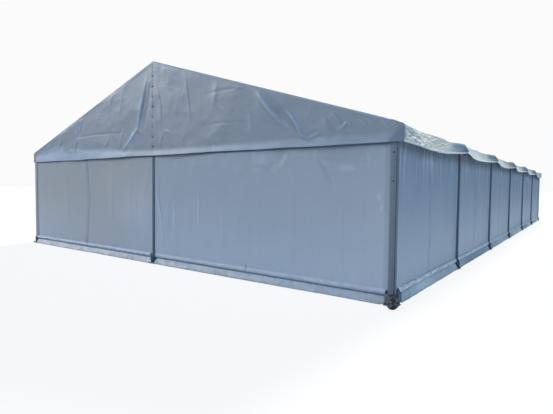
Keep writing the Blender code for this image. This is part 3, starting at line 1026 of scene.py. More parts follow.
def roofRow(bay, y, share, eave, fromRidge, middle, end, first, last):
    # one row of a sheet across the tent: its points before the pull of the ends, and its marks
    fromFrame = y - bay * hall["bay"] + halfLength
    tight = abs(2 * share - 1) ** roof["tightPower"]
    free = 1 - abs(2 * share - 1) ** 8
    section = middle + (end - middle) * tight
    normal = outwards(section)
    hemShares, hemHeights = zip(*roof["hemFirst" if first or last else "hemBetween"])
    hemRise = np.interp(1 - share if last else share, hemShares, hemHeights) - section[-1, 1]
    hung = np.clip(1 - eave / 0.17, 0, 1) * hemRise
    section = section + np.stack([0.25 * np.sign(section[:, 0]) * hung, hung], axis=1)
    at = np.full(section.shape[0], fromFrame)
    side = np.sign(section[:, 0]) * fromRidge

    # the flap is crushed by packing, less so towards its far end
    flapZone = ease((roof["flap"] + 0.17 - eave) / 0.14)
    drawn = (at + 9 * bay) * roof["stretch"]
    large, small = roof["creaseSizes"]
    broken = crumple(side, drawn, large, 501 + bay) + 0.8 * crumple(side, drawn, small, 551 + bay)
    rough = (1 - 0.45 * ease((share - 0.28) / 0.2)) * (1 - 0.92 * ease((share - 0.68) / 0.14))
    lift = roof["crushed"] * broken * flapZone * free * rough * ease(eave / 0.035)
    proud = ease(eave / 0.12) * ease((0.62 - eave) / 0.30)
    if not last:
        lift = lift + roof["hood"] * proud * np.clip((share - 0.74) / 0.26, 0, 1) ** 1.7
    if not first:
        lift = lift - roof["tuck"] * proud * np.clip(1 - share / 0.10, 0, 1) ** 1.5

    # the slope above it is stretched with slack between the frames
    slack = np.sin(at * 2.1 + 2.2 * softNoise(side, at, 1.1, 520 + bay)) * roof["slack"]
    pulled = roof["pulled"] * softNoise(side * 0.35, at, 0.32, 530 + bay)
    loose = slack + pulled + 0.004 * crumple(side, at * 0.6, 0.42, 540 + bay)
    lift = lift + (1 - flapZone) * free * loose
    beadAt, beadWide, beadRise = roof["bead"]
    for distance in (at, hall["bay"] - at):
        lift = lift + beadRise * bell((distance - beadAt) / beadWide)
    wave = roof["hemWave"] * softNoise(at, at * 0, 0.40, 560 + bay) * np.clip(1 - eave / 0.14, 0, 1) * free
    section = section + normal * (roof["stand"] + lift + wave)[:, None]
    section[:, 1] += 0.003 * softNoise(at, side * 0, 0.30, 570 + bay) * np.clip(1 - eave / 0.10, 0, 1) * free
    hemHeight, hemThick = roof["hem"]
    hem = ease((hemHeight - eave) / 0.004)
    section = section + normal * (hemThick * hem)[:, None]

    # painted light on the near part of every flap but the first; painted shade over each flap's far end but
    # the last one's, in the first flap's crumple hollows and along the shoulder; painted highlights on the
    # crumples' crests; a dark stitched line over the hem
    paler = 0.85 * flapZone * ease((0.62 - share) / 0.2) * (bay > 0)
    stitched = 0.6 * bell((eave - 0.042) / 0.004)
    turned = share - 0.62 - 0.7 * np.clip(eave - 0.06, 0, 0.2)
    shadedEnd = ease((0.52 - eave) / 0.14) * (1 - hem) * (not last) * ease(turned / 0.12)
    shadedEnd = shadedEnd * np.clip(0.65 + 1.6 * turned, 0, 1.1)
    hollows = first * flapZone * (1 - hem) * ease((0.34 - share) / 0.3) * np.clip(0.12 - 1.4 * broken, 0, 0.6)
    shoulder = 0.18 * bell((eave - 0.33) / 0.09)
    return section, dict(
        crease=0.55 * np.clip(broken * 2.2, 0, 1) * flapZone * rough,
        wrinkle=flapZone * rough,
        tone=np.maximum(0.85 * hem, paler),
        line=np.maximum(np.maximum(stitched, shadedEnd), np.maximum(hollows, shoulder)),
    )


def roofPatch(bay):
    low = bay * hall["bay"] - halfLength
    first, last = bay == 0, bay == bayCount - 1
    yLow = -gableFace - roof["over"] if first else low + roof["between"]
    yHigh = gableFace + roof["over"] if last else low + hall["bay"] - roof["between"]
    ends = [wholeSection("atGable" if atGable else "onFrame") for atGable in (first, last)]
    middle = wholeSection("midBay")
    lengths = np.concatenate([[0], np.cumsum(np.linalg.norm(np.diff(middle, axis=0), axis=1))])
    fromRidge = np.abs(lengths - lengths[-1] / 2)
    eave = lengths[-1] / 2 - fromRidge  # up from the hem
    pull = roof["rakePull"] + (roof["cornerPull"] - roof["rakePull"]) * ease((0.20 - eave) / 0.06)
    rows, marks = [], []
    for y in spaced(yLow, yHigh, roof["rows"]):
        share = np.clip((y - low - roof["hold"]) / (hall["bay"] - 2 * roof["hold"]), 0, 1)
        end = ends[0 if share < 0.5 else 1]
        section, rowMarks = roofRow(bay, y, share, eave, fromRidge, middle, end, first, last)
        fromFront = first * np.clip(1 - (y - yLow) / roof["pullOver"], 0, 1) ** 2
        fromBack = last * np.clip(1 - (yHigh - y) / roof["pullOver"], 0, 1) ** 2
        rows.append(np.stack([section[:, 0], y + pull * (fromFront - fromBack), section[:, 1]], axis=1))
        marks.append(rowMarks)
    return patch(np.array(rows), True, {name: np.array([row[name] for row in marks]) for name in marks[0]})


def addRoof():
    for bay in range(bayCount):
        piece = addSheet(f"roof_sheet_{bay + 1}", [roofPatch(bay)], cloths["roof"])
        finishSheet(piece, [f"roof_cover_{bay + 1}"])


addRoof()
print("roof sheets stretched")


# Gable triangles

triangle = dict(
    columns=190,
    rows=58,
    hem=1.950,
    hemBand=0.034,
    hemWave=0.008,
    split=0.0015,  # half the gap between the laced halves
    kick=0.022,  # how far the hem stands out
    # painted light on the band where the hem leans out
    bandTone=0.10,
    facet=0.17,  # the sheet is drawn back round the corner over this width
    facetBack=0.012,
    facetHeight=0.27,
    wrap=0.022,  # radius where it turns over the edge of the roof
    cornerWrap=0.028,  # and round the tent's corner
    cornerFrom=4.28,  # where the one becomes the other, from the centre
    cornerOver=0.25,
    lift=0.0055,  # the lap lies on the roof sheet
    lap=0.055,
    cornerLap=0.005,
    turns=(90, 90, 75, 60, 45, 30, 15, 0),  # degrees round the turned edge, from the lap
    foldScale=1.3,
    swells=((0.009, 0.8), (0.004, 0.3)),  # heights and sizes
    crumpled=(0.006, 0.34),
    narrow=0.72,
    base=0.011,  # the face's distance in front of the rafters
    inwards=0.0075,  # the most that it is drawn in from there
    flat=(4.66, 1.72),
    area=4.6,
    # how high the foot of the sheet starts to lean out, at distances from the centre
    kickLeft=((0.0, 2.06), (1.7, 2.14), (3.3, 2.24), (4.6, 2.10)),
    kickRight=((0.0, 2.06), (1.2, 2.06), (3.15, 2.09), (4.6, 2.08)),
    # folds and facets in the same order of values as the gable walls'
    foldsLeft=(
        (((0.16, 3.33), (0.28, 2.90), (0.43, 2.44)), 0.040, 0.022, -0.4, 0.8),
        (((0.05, 3.25), (0.14, 2.85), (0.28, 2.40)), 0.045, -0.014, 0.3),
        (((0.43, 2.46), (0.62, 2.28), (0.85, 2.08)), 0.040, 0.018, -0.4, 0.6),
        (((0.88, 2.43), (0.95, 2.28), (1.02, 2.14)), 0.030, 0.010, -0.3, 0.4),
        (((0.90, 3.23), (0.94, 3.00), (0.99, 2.80)), 0.025, 0.007, 0.3, 0.4),
        (((1.24, 3.16), (1.27, 3.00)), 0.025, 0.008, 0.3, 0.5),
        (((2.35, 2.80), (2.39, 2.66), (2.43, 2.50)), 0.035, 0.016, -0.3, 0.8),
        (((2.53, 2.40), (2.58, 2.28), (2.62, 2.16)), 0.030, 0.012, -0.4, 0.5),
        (((2.60, 2.43), (1.80, 2.44), (0.96, 2.42)), 0.018, -0.006, 0.2),
        (((0.50, 2.44), (0.38, 2.41), (0.27, 2.34)), 0.024, 0.010, 0.3, 0.6),
        (((1.75, 2.86), (1.82, 2.62)), 0.060, 0.007, 0.2),
        (((3.20, 2.50), (3.34, 2.24)), 0.060, 0.009, 0.2, 0.2),
        (((3.75, 2.36), (3.92, 2.16)), 0.050, 0.008, 0.2, 0.2),
        (((1.35, 2.36), (1.50, 2.16)), 0.040, 0.007, 0.2, 0.2),
    ),
    foldsRight=(
        (((0.10, 3.20), (0.24, 2.84), (0.24, 2.54)), 0.022, 0.010, 0.3, 0.6),
        (((0.05, 3.00), (0.12, 2.60), (0.16, 2.30)), 0.035, -0.008, 0.3),
        (((0.87, 3.24), (0.95, 2.77), (0.97, 2.50)), 0.020, 0.009, 0.3, 0.6),
        (((0.34, 2.36), (0.43, 2.36), (0.51, 2.30)), 0.024, 0.010, 0.3, 0.6),
        (((0.28, 2.30), (0.23, 2.12)), 0.026, 0.012, 0.3, 0.7),
        (((1.29, 2.88), (1.75, 2.90), (2.16, 2.89)), 0.016, -0.008, 0.2),
        (((1.95, 2.905), (2.18, 2.89)), 0.026, 0.008, 0.2),
        (((1.21, 2.38), (1.70, 2.40), (2.12, 2.38)), 0.014, -0.006, 0.2),
        (((2.26, 2.55), (2.26, 2.40), (2.25, 2.22)), 0.016, 0.007, 0.3, 0.4),
        (((2.43, 2.75), (2.66, 2.48), (2.88, 2.26)), 0.060, 0.020, 0.2, 0.4),
        (((2.80, 2.46), (2.97, 2.30), (3.11, 2.16)), 0.040, -0.018, 0.2),
        (((2.96, 2.46), (3.09, 2.28), (3.20, 2.10), (3.30, 2.06), (3.46, 2.11)), 0.030, 0.022, 0.35, 0.9),
        (((3.52, 2.30), (3.66, 2.14)), 0.050, 0.010, 0.2),
        (((3.65, 2.35), (3.72, 2.28), (3.78, 2.20)), 0.022, 0.016, -0.35, 0.8),
        (((3.76, 2.14), (3.86, 2.22), (3.98, 2.17)), 0.022, 0.010, 0.2, 0.5),
        (((3.46, 2.43), (3.58, 2.41)), 0.016, -0.010, 0.0),
        (((4.01, 2.25), (4.08, 2.22), (4.14, 2.16)), 0.024, 0.011, 0.3, 0.6),
        (((4.30, 2.24), (4.42, 2.12)), 0.026, 0.009, 0.3, 0.4),
        (((0.62, 2.80), (0.66, 2.62)), 0.030, 0.006, 0.2, 0.3),
        (((1.60, 3.02), (1.52, 2.66)), 0.080, 0.008, 0.2),
    ),
    # patches of painted light (strength above 0) and painted shade (below 0)
    facetsLeft=(
        (0.16, ((0.14, 3.30), (0.11, 3.28), (0.21, 3.11), (0.31, 2.79), (0.36, 2.49), (0.48, 2.48),
            (0.43, 2.70), (0.36, 2.94), (0.24, 3.16))),
        (-0.20, ((0.09, 3.23), (0.08, 3.20), (0.11, 2.92), (0.21, 2.75), (0.32, 2.50), (0.34, 2.69),
            (0.27, 2.90), (0.17, 3.14))),
        (0.30, ((0.51, 2.43), (0.48, 2.40), (0.51, 2.33), (0.73, 2.12), (0.78, 2.11), (0.73, 2.21),
            (0.64, 2.38))),
        (0.24, ((0.83, 2.40), (0.79, 2.38), (0.98, 2.17), (1.03, 2.16), (0.96, 2.28))),
        (-0.30, ((1.97, 2.50), (1.39, 2.445), (0.89, 2.43), (0.89, 2.405), (1.40, 2.41), (1.97, 2.475))),
        (0.22, ((2.27, 2.80), (2.33, 2.57), (2.48, 2.31), (2.56, 2.31), (2.44, 2.58), (2.35, 2.79))),
        (-0.30, ((2.45, 2.74), (2.41, 2.71), (2.50, 2.52), (2.57, 2.52), (2.52, 2.63))),
        (0.30, ((2.65, 2.08), (2.57, 2.20), (2.25, 2.14), (1.87, 2.15), (1.36, 2.17), (1.06, 2.10),
            (0.77, 2.02), (0.83, 1.90), (2.65, 1.90))),
        (0.30, ((4.48, 1.97), (4.31, 2.15), (3.89, 2.22), (3.48, 2.29), (3.15, 2.27), (3.10, 2.16),
            (2.74, 2.20), (2.63, 2.14), (2.63, 1.90), (4.48, 1.90))),
    ),
    facetsRight=(
        (0.18, ((2.41, 2.76), (2.49, 2.71), (2.73, 2.46), (2.97, 2.24), (2.83, 2.30), (2.59, 2.52))),
        (-0.34, ((2.55, 2.71), (2.71, 2.67), (2.94, 2.41), (3.20, 2.13), (3.12, 2.15), (2.89, 2.35),
            (2.69, 2.53))),
        (0.28, ((2.95, 2.44), (3.02, 2.40), (3.13, 2.27), (3.24, 2.09), (3.19, 2.11), (3.08, 2.28))),
        (-0.30, ((3.19, 2.09), (3.31, 2.06), (3.49, 2.10), (3.48, 2.13), (3.33, 2.10), (3.24, 2.11))),
        (-0.42, ((1.77, 2.865), (2.02, 2.88), (2.18, 2.90), (2.17, 2.87), (2.00, 2.85), (1.77, 2.84))),
        (-0.32, ((1.77, 2.39), (2.00, 2.395), (2.18, 2.39), (2.18, 2.37), (2.00, 2.37), (1.77, 2.365))),
        (0.30, ((2.25, 2.46), (2.275, 2.45), (2.275, 2.21), (2.25, 2.21))),
        (0.22, ((1.50, 2.03), (2.22, 2.03), (2.68, 2.03), (2.84, 2.04), (2.84, 1.90), (1.50, 1.90))),
        (0.16, ((2.95, 2.01), (3.21, 2.03), (3.41, 2.08), (3.55, 2.05), (3.75, 1.90), (2.95, 1.90))),
    ),
)
lacing = dict(
    heights=(3.36, 3.18, 3.00, 2.82, 2.64, 2.46, 2.28, 2.11),
    reach=0.022,  # from the split to each eyelet
    ring=0.008,
    wire=0.002,
    washer=(0.012, 0.005),  # radius and height
    loop=0.003,
    out=0.007,  # the eyelets' place in front of the gable's face
    pucker=(0.07, 0.030, 0.003),  # the dimple at each eyelet: reach, half its height and depth
    # the loop's way from an eyelet to the other: its side, inwards from the eyelet, out and up
    way=(
        (1, 0.0, 0.004, 0.0), (1, 0.010, 0.010, -0.004),
        (-1, 0.010, 0.010, -0.006), (-1, 0.0, 0.003, -0.002),
    ),
)


def triangleFace(x, z, side, topGap, folds, kicks, facets, seed):
    # how far the face stands out, how much its hem waves and its marks; x and z run over one half
    hem, most = triangle["hem"], triangle["inwards"]
    rise, crease = foldField(x, z, folds, triangle["narrow"])
    rise = rise * triangle["foldScale"]
    for number, (height, size) in enumerate(triangle["swells"]):
        rise = rise + height * softNoise(x, z, size, seed + number)
    height, size = triangle["crumpled"]
    rise = rise + height * crumple(x, z, size, seed + 2)
    sideGap = side - x
    held = ease(topGap * math.cos(hall["pitch"]) / 0.06) * ease(sideGap / 0.06)
    kickTop = np.interp(x, *zip(*kicks))
    kick = triangle["kick"] * ease((kickTop - z) / (kickTop - hem) * 0.9)
    kick = kick * (0.35 + 0.65 * ease(sideGap / 0.25)) * (1 + 0.25 * softNoise(x, x * 0, 0.55, seed + 7))
    hemWave = triangle["hemWave"] * softNoise(x, x * 0, 0.45, seed + 8) * ease((2.06 - z) / 0.10) * held
    swell = rise * held * (0.35 + 0.65 * ease(x / 0.10))
    swell = np.where(swell < 0, most * (np.exp(swell / most) - 1), swell)
    facet = triangle["facet"] * np.clip(1 - (z - hem) / triangle["facetHeight"], 0, 1)
    drawnBack = np.clip((facet - sideGap) / triangle["facet"], 0, 1)
    z = z + hemWave
    reach, tall, deep = lacing["pucker"]
    puckers = sum(bell((z - height) / tall) for height in lacing["heights"]) * bell(x / reach)
    out = triangle["base"] + swell + kick - triangle["facetBack"] * drawnBack - deep * puckers
    pale, dull = facetField(x, z, facets, 0.050)
    # painted light where the hem's band leans out and on the facets turned to the light
    tone = np.maximum(triangle["bandTone"] * ease((kickTop + 0.02 - z) / 0.10), pale)
    tone = tone + 0.10 * ease((hem + triangle["hemBand"] - z) / 0.004)
    # painted shade where the sheet is drawn back round the corner
    turnedAway = ease(drawnBack * 3)
    line = np.maximum(np.maximum(0.28 * bell((x - 0.004) / 0.006), 0.55 * turnedAway), dull)
    return out, z, dict(crease=0.5 * crease, tone=tone * (1 - turnedAway), line=line)


def gableSheetPatches(end, sign, folds, kicks, facets, seed):
    face, split = gableFace + 0.0003, triangle["split"]
    edge = halfSection("atGable")  # the roof's edge, over the shoulder and down to the hem
    normal = outwards(edge)
    turn = roof["slopeParts"] + roof["turnParts"] // 2
    # 0 along the rake and 1 round the tent's corner
    rounding = ease((np.abs(edge[:, 0]) - triangle["cornerFrom"]) / triangle["cornerOver"])
    radii = triangle["wrap"] + (triangle["cornerWrap"] - triangle["wrap"]) * rounding
    inner = edge + normal * (triangle["lift"] - radii)[:, None]
    u = spaced(0, 1, triangle["columns"], edge=0.001)
    v = spaced(0, 1, triangle["rows"])[::-1]
    topX = split + u * (inner[turn, 0] - split)
    topZ = np.interp(topX, inner[: turn + 1, 0], inner[: turn + 1, 1])
    gridX = np.meshgrid(topX, v)[0]
    gridTop, gridV = np.meshgrid(topZ, v)
    z = triangle["hem"] + gridV * (gridTop - triangle["hem"])
    sideZ = z[:, -1]
    side = np.interp(sideZ, inner[turn:, 1][::-1], inner[turn:, 0][::-1])
    x = split + (gridX - split) * ((side - split) / (topX[-1] - split))[:, None]
    out, z, marks = triangleFace(x, z, side[:, None], gridTop - z, folds, kicks, facets, seed)
    main = patch(np.stack([sign * x, end * (face + out), z], axis=-1), end * sign > 0, marks)

    # the turned edge, from its lap on the roof down to the face
    path = np.concatenate([np.array([topX, topZ]).T, np.array([side, sideZ]).T[1:]])
    nearest = [int(np.hypot(*(inner - point).T).argmin()) for point in path]
    radius, rounding = radii[nearest], rounding[nearest]
    lap = triangle["lap"] + (triangle["cornerLap"] - triangle["lap"]) * rounding
    faceOut = np.concatenate([out[0], out[1:, -1]])
    rows = []
    for n, angle in enumerate(np.radians(triangle["turns"])):
        across = path + normal[nearest] * (radius * math.sin(angle))[:, None]
        y = face + faceOut * (1 - math.sin(angle)) - radius * (1 - math.cos(angle)) - lap * (n == 0)
        y = y + 0.004 * math.sin(angle)
        rows.append(np.stack([sign * across[:, 0], end * y, across[:, 1]], axis=1))
    onFlap = path[:, 1] < roofHeight(path[:, 0]) - 0.06
    every = np.ones((len(rows), 1))
    # painted light along the turned edge over the rake, and painted shade where it turns round the corner
    # over the flap
    edgeMarks = dict(tone=every * 0.30 * (1 - rounding), line=every * 0.55 * rounding * onFlap)
    return [main, patch(np.array(rows), end * sign > 0, edgeMarks)]


def addGableSheets():
    for end, endSign, name, sign in gableHalves:
        like, seed = ("Right", 600) if endSign * sign < 0 else ("Left", 640)
        folds, kicks, facets = (triangle[part + like] for part in ("folds", "kick", "facets"))
        patches = gableSheetPatches(endSign, sign, folds, kicks, facets, seed)
        piece = addSheet(f"gable_sheet_{end}_{name}", patches, cloths["triangle"])
        finishSheet(piece, [f"{end}_gable_{name}"])


addGableSheets()
print("gable sheets stretched")


# Small fittings, made as joined meshes

def circle(centre, one, two, radius, sides):
    # points round a centre, in the plane of two directions
    turns = [2 * math.pi * m / sides for m in range(sides)]
    return [centre + (one * math.cos(turn) + two * math.sin(turn)) * radius for turn in turns]


def across(axis):
    # two directions square to an axis
    one = axis.orthogonal().normalized()
    return one, axis.cross(one)


def loftPart(shape, rings, closed=False):
    # a skin over rings of points, joined end to end or with a face at each end
    rings = [[shape.verts.new(point) for point in ring] for ring in rings]
    for ring, after in zip(rings, rings[1:] + rings[:1] * closed):
        for m in range(len(ring)):
            beside = (m + 1) % len(ring)
            shape.faces.new((ring[m], after[m], after[beside], ring[beside]))
    if not closed:
        shape.faces.new(rings[0])
        shape.faces.new(rings[-1][::-1])


def ringPart(shape, centre, axis, radius, wire, turns=14, sides=6):
    centre, axis = Vector(centre), Vector(axis)
    spokes = circle(Vector(), *across(axis), 1, turns)
    rings = [circle(centre + spoke * radius, spoke, axis, wire, sides) for spoke in spokes]
    loftPart(shape, rings, closed=True)


def tubePart(shape, points, radius, sides=8):
    points = [Vector(point) for point in points]
    rings = []
    for n, point in enumerate(points):
        along = (points[min(n + 1, len(points) - 1)] - points[max(n - 1, 0)]).normalized()
        one = along.cross(Vector((0.13, 0.21, 0.97))).normalized()
        rings.append(circle(point, one, along.cross(one), radius, sides))
    loftPart(shape, rings)


def domePart(shape, centre, axis, radius, height, sides=14):
    centre, axis = Vector(centre), Vector(axis)
    outline = ((1.0, 0.0), (1.0, 0.35), (0.86, 0.78), (0.5, 0.97))  # shares of radius and height
    loftPart(shape, [circle(centre + axis * height * up, *across(axis), radius * reach, sides)
                     for reach, up in outline])


def boxPart(shape, corner, opposite, bevel=0.0015, segments=1):
    low, high = (Vector(map(choose, corner, opposite)) for choose in (min, max))
    made = bmesh.ops.create_cube(shape, size=1.0)["verts"]
    for point in made:
        point.co = point.co * (high - low) + (low + high) / 2
    edges = {edge for point in made for edge in point.link_edges}
    bmesh.ops.bevel(shape, geom=list(edges), offset=bevel, segments=segments, profile=0.5, affect="EDGES")


def ballPart(shape, centre, halves):
    ball = bmesh.ops.create_uvsphere(shape, u_segments=20, v_segments=14, radius=1.0)["verts"]
    for point in ball:
        point.co = point.co * Vector(halves) + Vector(centre)


def addFitting(name, shape, metal):
    bmesh.ops.recalc_face_normals(shape, faces=shape.faces)
    mesh = bpy.data.meshes.new(name)
    shape.to_mesh(mesh)
    shape.free()
    mesh.shade_smooth()
    mesh.set_sharp_from_angle(angle=math.radians(40))
    mesh.materials.append(metals[metal])
    piece = addObject(name, mesh)
    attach(piece, "root")


def addLacing():
    reach = lacing["reach"]
    for end, endSign in (("front", -1), ("back", 1)):
        rings, loops = bmesh.new(), bmesh.new()
        y = endSign * (gableFace + lacing["out"])
        for height in lacing["heights"]:
            for sign in (-1, 1):
                ringPart(rings, (sign * reach, y, height), (0, 1, 0), lacing["ring"], lacing["wire"])
            domePart(loops, (reach, y, height), (0, endSign, 0), *lacing["washer"])
            way = [(side * (reach - inwards), y + endSign * out, height + up)
                   for side, inwards, out, up in lacing["way"]]
            tubePart(loops, way, lacing["loop"])
        addFitting(f"{end}_eyelets", rings, "legAluminium")
        addFitting(f"{end}_lacing_loops", loops, "blackRubber")


shoe = dict(
    plugs=(1.83, 1.49),
    endPlug=(0.011, 0.003),  # radius and height
    endPlugIn=0.005,  # an end plug's place, in from the leg's middle and out from its face
    endPlugOut=0.0002,
    sidePlug=(0.008, 0.003),
    plugDrop=0.1,  # the plugs on the outer side sit this much lower
    stake=0.011,
    stakeHead=(0.017, 0.013),
    stakeReach=(0.066, 0.055),
    stakeTop=0.034,
    plate=0.010,
    castHalf=(0.074, 0.060),
    castFoot=0.006,
    castHeight=0.172,
    castRound=0.052,
    cornerForward=0.360,  # the corner castings stand out in front of the gable
    cornerHalf=(0.068, 0.100),
    cornerHeight=0.158,
    cornerFoot=0.001,  # its clearance from the ground
    cornerAcross=0.078,
)
arm = dict(
    foot=0.012,
    reach=(0.035, 0.152),  # the arms that lead from a corner shoe to the ground rails
    out=(0.002, 0.060),
    top=0.150,
    round=0.016,
    gableOut=(0.004, 0.040),
    gableReach=0.030,
    gableTop=0.135,
    gableRound=0.012,
    rest=0.004,  # how far an arm and the cap pass the end of the curtain's pocket
    capHeight=0.147,
    capHalves=(0.026, 0.020, 0.036),
)
cover = dict(
    inwards=0.001,  # the free channel's centre, in from the side wall's face
    half=0.0056,
    depths=(0.0002, 0.0070),
    foot=0.17,
    belowTop=0.01,
    bevel=0.0004,
)
rail = dict(
    out=0.0105,  # the rail's middle, from the wall's face
    half=0.007,
    low=0.124,
    high=0.166,
    into=0.052,  # where an end starts, from a leg's middle
    postInto=0.030,  # from a gable post's face
    legInto=0.020,  # and from a corner leg's
    past=0.05,  # how far it reaches into the pocket
)
legX = (legLow.x + legHigh.x) / 2


def legPlaces():
    # each leg's place, its side, and its gable: -1 at the front, 1 at the back and 0 between
    for number in range(bayCount + 1):
        for sign in (1, -1):
            y = number * hall["bay"] - halfLength
            yield sign * legX, y, sign, {0: -1, bayCount: 1}.get(number, 0)


def addCastings():
    # the rounded castings that grip the feet of the legs and the gable posts
    corners, shoes = bmesh.new(), bmesh.new()
    places = [(x, y, atEnd) for x, y, sign, atEnd in legPlaces() if atEnd * sign <= 0]
    for x, y, atEnd in [*places, (0, -halfLength, 0), (0, halfLength, 0)]:
        if atEnd:
            half = shoe["cornerHeight"] / 2
            x += math.copysign(shoe["cornerAcross"], x)
            y += atEnd * shoe["cornerForward"] / 2
            ballPart(corners, (x, y, half), (*shoe["cornerHalf"], half - shoe["cornerFoot"]))
        else:
            halfX, halfY = shoe["castHalf"]
            boxPart(shoes, (x - halfX, y - halfY, shoe["castFoot"]),
                    (x + halfX, y + halfY, shoe["castHeight"]), shoe["castRound"], 4)
    addFitting("corner_castings", corners, "mottledCastIron")
    addFitting("shoe_castings", shoes, "darkCasting")


def addArmsAndCovers():
    arms = bmesh.new()
    face = hall["wallFace"]
    for _, y, sign, atEnd in legPlaces():
        if atEnd * sign < 0:
            # an arm under the side wall, one under the gable wall, and the cap of the ground rail
            foot, rest = arm["foot"], arm["rest"]
            (near, far), (inside, outside) = arm["reach"], arm["out"]
            boxPart(arms, (sign * (face + inside), y - atEnd * near, foot),
                    (sign * (face + outside), y - atEnd * far, arm["top"]), arm["round"])
            front, rear = (y + atEnd * (hall["legHalf"] + out) for out in arm["gableOut"])
            along = sign * (hall["legInner"] - hall["legClear"] - rest)
            end = (sign * (hall["legInner"] + arm["gableReach"]), rear, arm["gableTop"])
            boxPart(arms, (along, front, foot), end, arm["gableRound"])
            capY = y - atEnd * (hall["legHalf"] + hall["cornerClear"] + rest)
            ballPart(arms, (sign * face, capY, arm["capHeight"]), arm["capHalves"])
        if atEnd:
            # the strip that covers the free channel on the gable face of a corner leg
            coverX = sign * (face - cover["inwards"])
            near, far = (y + atEnd * (hall["legHalf"] - depth) for depth in cover["depths"])
            top = hall["legTop"] - cover["belowTop"]
            boxPart(arms, (coverX - cover["half"], near, cover["foot"]),
                    (coverX + cover["half"], far, top), cover["bevel"])
    addFitting("shoe_arms_and_covers", arms, "armAluminium")


def addPlugs():
    plugs = bmesh.new()
    for x, y, sign, atEnd in legPlaces():
        for height in shoe["plugs"]:
            if atEnd:
                out = hall["legHalf"] + shoe["endPlugOut"]
                place = (x - sign * shoe["endPlugIn"], y + atEnd * out, height)
                domePart(plugs, place, (0, atEnd, 0), *shoe["endPlug"])
            place = (sign * (2 * legX - hall["legInner"]), y, height - shoe["plugDrop"])
            domePart(plugs, place, (sign, 0, 0), *shoe["sidePlug"])
    addFitting("leg_plugs", plugs, "blackRubber")


def addStakes():
    steel = bmesh.new()
    reachX, reachY = shoe["stakeReach"]
    posts = [(0, -halfLength), (0, halfLength)]
    for x, y in [place[:2] for place in legPlaces()] + posts:
        for along in (-1, 1):
            for side in (-1, 1):
                place = (x + side * reachX, y + along * reachY, shoe["plate"])
                domePart(steel, place, (0, 0, 1), *shoe["stakeHead"])
                if x:
                    tubePart(steel, [place, (*place[:2], shoe["stakeTop"])], shoe["stake"])
    addFitting("ground_stakes", steel, "blackSteel")


def addRailEnds():
    # the bare ends of the ground rails between a pocket and a shoe
    rails = bmesh.new()
    half, past = rail["half"], rail["past"]
    for _, y, sign, atEnd in legPlaces():
        for along in (-1, 1):
            if along != atEnd:
                railX = sign * (hall["wallFace"] + rail["out"])
                far = hall["legHalf"] + hall["shoeClear"] + past
                boxPart(rails, (railX - half, y + along * rail["into"], rail["low"]),
                        (railX + half, y + along * far, rail["high"]))
    for end in (-1, 1):
        y = end * (gableFace - hall["gableRecess"] + rail["out"])
        for sign in (-1, 1):
            for near, far in (
                (hall["postHalf"] + rail["postInto"], hall["postHalf"] + hall["shoeClear"] + past),
                (hall["legInner"] - hall["shoeClear"] - past, hall["legInner"] - rail["legInto"]),
            ):
                boxPart(rails, (sign * near, y - half, rail["low"]),
                        (sign * far, y + half, rail["high"]))
    addFitting("ground_rail_ends", rails, "blackSteel")


addLacing()
addPlugs()
addStakes()
addRailEnds()
addCastings()
addArmsAndCovers()
print("fittings placed")


# The frame's own nodes keep their shapes and take an aluminium finish, painted paler on two corner legs as if
# lit from the left

litLegs = ("leg_left_1", f"leg_right_{bayCount + 1}")
for name, node in nodes.items():
    if not node.hide_render:
        finish = "postAluminium" if name.endswith("_gable_post") else "legAluminium"
        finish = metals["litAluminium" if name in litLegs else finish]
        if node.material_slots:
            for held in node.material_slots:
                held.material = finish
        else:
            node.data.materials.append(finish)


# Floor, world and lights

studio = dict(
    floorReach=260.0,
    floorTone=(0.90, 0.91, 0.93),
    floorGlow=0.86,  # how far the camera sees the floor as plain white
    bounce=(0.60, 0.62, 0.66),
    worldTone=(0.64, 0.81, 1.0),
    worldStrength=0.185,
    backdrop=0.965,
    white=(1, 1, 1),
    panelPlace=(0, -12, 15),
    panelTarget=(0, -7, 0),
    panelSize=(24, 12),
    panelPower=350,
    panelTone=(0.84, 0.92, 1.0),
    # power, direction that the light comes from, spread in degrees and tone
    farLights=dict(
        key=(4.3, (-0.04, 0.84, 0.54), 9, (1.0, 0.97, 0.92)),
        left=(1.54, (-0.80, -0.44, 0.40), 22, (1.0, 0.98, 0.96)),
        right=(1.04, (0.72, -0.50, 0.48), 26, (0.48, 0.72, 1.0)),
    ),
)


def seenOrLit(tree, lit, seen):
    # one shader for the camera and another for the light that falls on the tent
    onCamera = addNode(tree, "LightPath").outputs["Is Camera Ray"]
    return addNode(tree, "MixShader", {0: onCamera, 1: lit, 2: seen}).outputs[0]


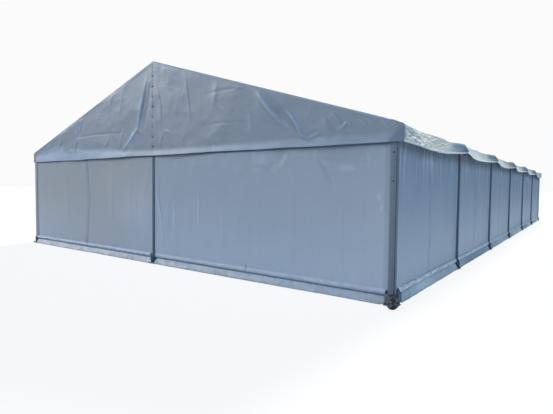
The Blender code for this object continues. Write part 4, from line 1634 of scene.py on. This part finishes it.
def addFloor():
    reach = studio["floorReach"]
    mesh = bpy.data.meshes.new("floor")
    corners = [(x * reach, y * reach, 0) for x, y in ((-1, -1), (1, -1), (1, 1), (-1, 1))]
    mesh.from_pydata(corners, [], [(0, 1, 2, 3)])
    floor = addObject("floor", mesh)
    material, tree, shader = newMaterial("paleFloor")
    feed(tree, shader, {"Base Color": studio["floorTone"], "Roughness": 0.9})
    glow = addNode(tree, "Emission", dict(Color=studio["white"], Strength=1.0)).outputs[0]
    plain = addNode(tree, "BsdfDiffuse", dict(Color=studio["bounce"])).outputs[0]
    seen = addNode(tree, "MixShader", {0: studio["floorGlow"], 1: shader.outputs[0], 2: glow}).outputs[0]
    feed(tree, tree.nodes["Material Output"], dict(Surface=seenOrLit(tree, plain, seen)))
    mesh.materials.append(material)
    floor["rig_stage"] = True


def addWorld():
    world = bpy.data.worlds.new("studio")
    world.use_nodes = True
    tree = world.node_tree
    light = tree.nodes["Background"]
    feed(tree, light, dict(Color=studio["worldTone"], Strength=studio["worldStrength"]))
    white = addNode(tree, "Background", dict(Color=studio["white"], Strength=studio["backdrop"]))
    surface = seenOrLit(tree, light.outputs[0], white.outputs[0])
    feed(tree, tree.nodes["World Output"], dict(Surface=surface))
    bpy.context.scene.world = world


def addLight(name, kind, power, towards, tone):
    light = bpy.data.lights.new(name, kind)
    light.energy = power
    light.color = tone
    lamp = addObject(name, light)
    lamp.rotation_euler = Vector(towards).to_track_quat("-Z", "Y").to_euler()
    return light, lamp


def addLights():
    towards = Vector(studio["panelTarget"]) - Vector(studio["panelPlace"])
    panel, lamp = addLight("overhead", "AREA", studio["panelPower"], towards, studio["panelTone"])
    panel.shape = "RECTANGLE"
    panel.size, panel.size_y = studio["panelSize"]
    lamp.location = studio["panelPlace"]
    for name, (power, comesFrom, spread, tone) in studio["farLights"].items():
        sun, lamp = addLight(name, "SUN", power, -Vector(comesFrom), tone)
        sun.angle = math.radians(spread)


addFloor()
addWorld()
addLights()
bpy.context.scene.view_settings.view_transform = "Standard"
print("studio lit")

added = 0
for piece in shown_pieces():
    if "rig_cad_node" not in piece:
        counted = piece.evaluated_get(bpy.context.evaluated_depsgraph_get()).to_mesh()
        added += sum(len(face.vertices) - 2 for face in counted.polygons)
print("triangles added:", added)
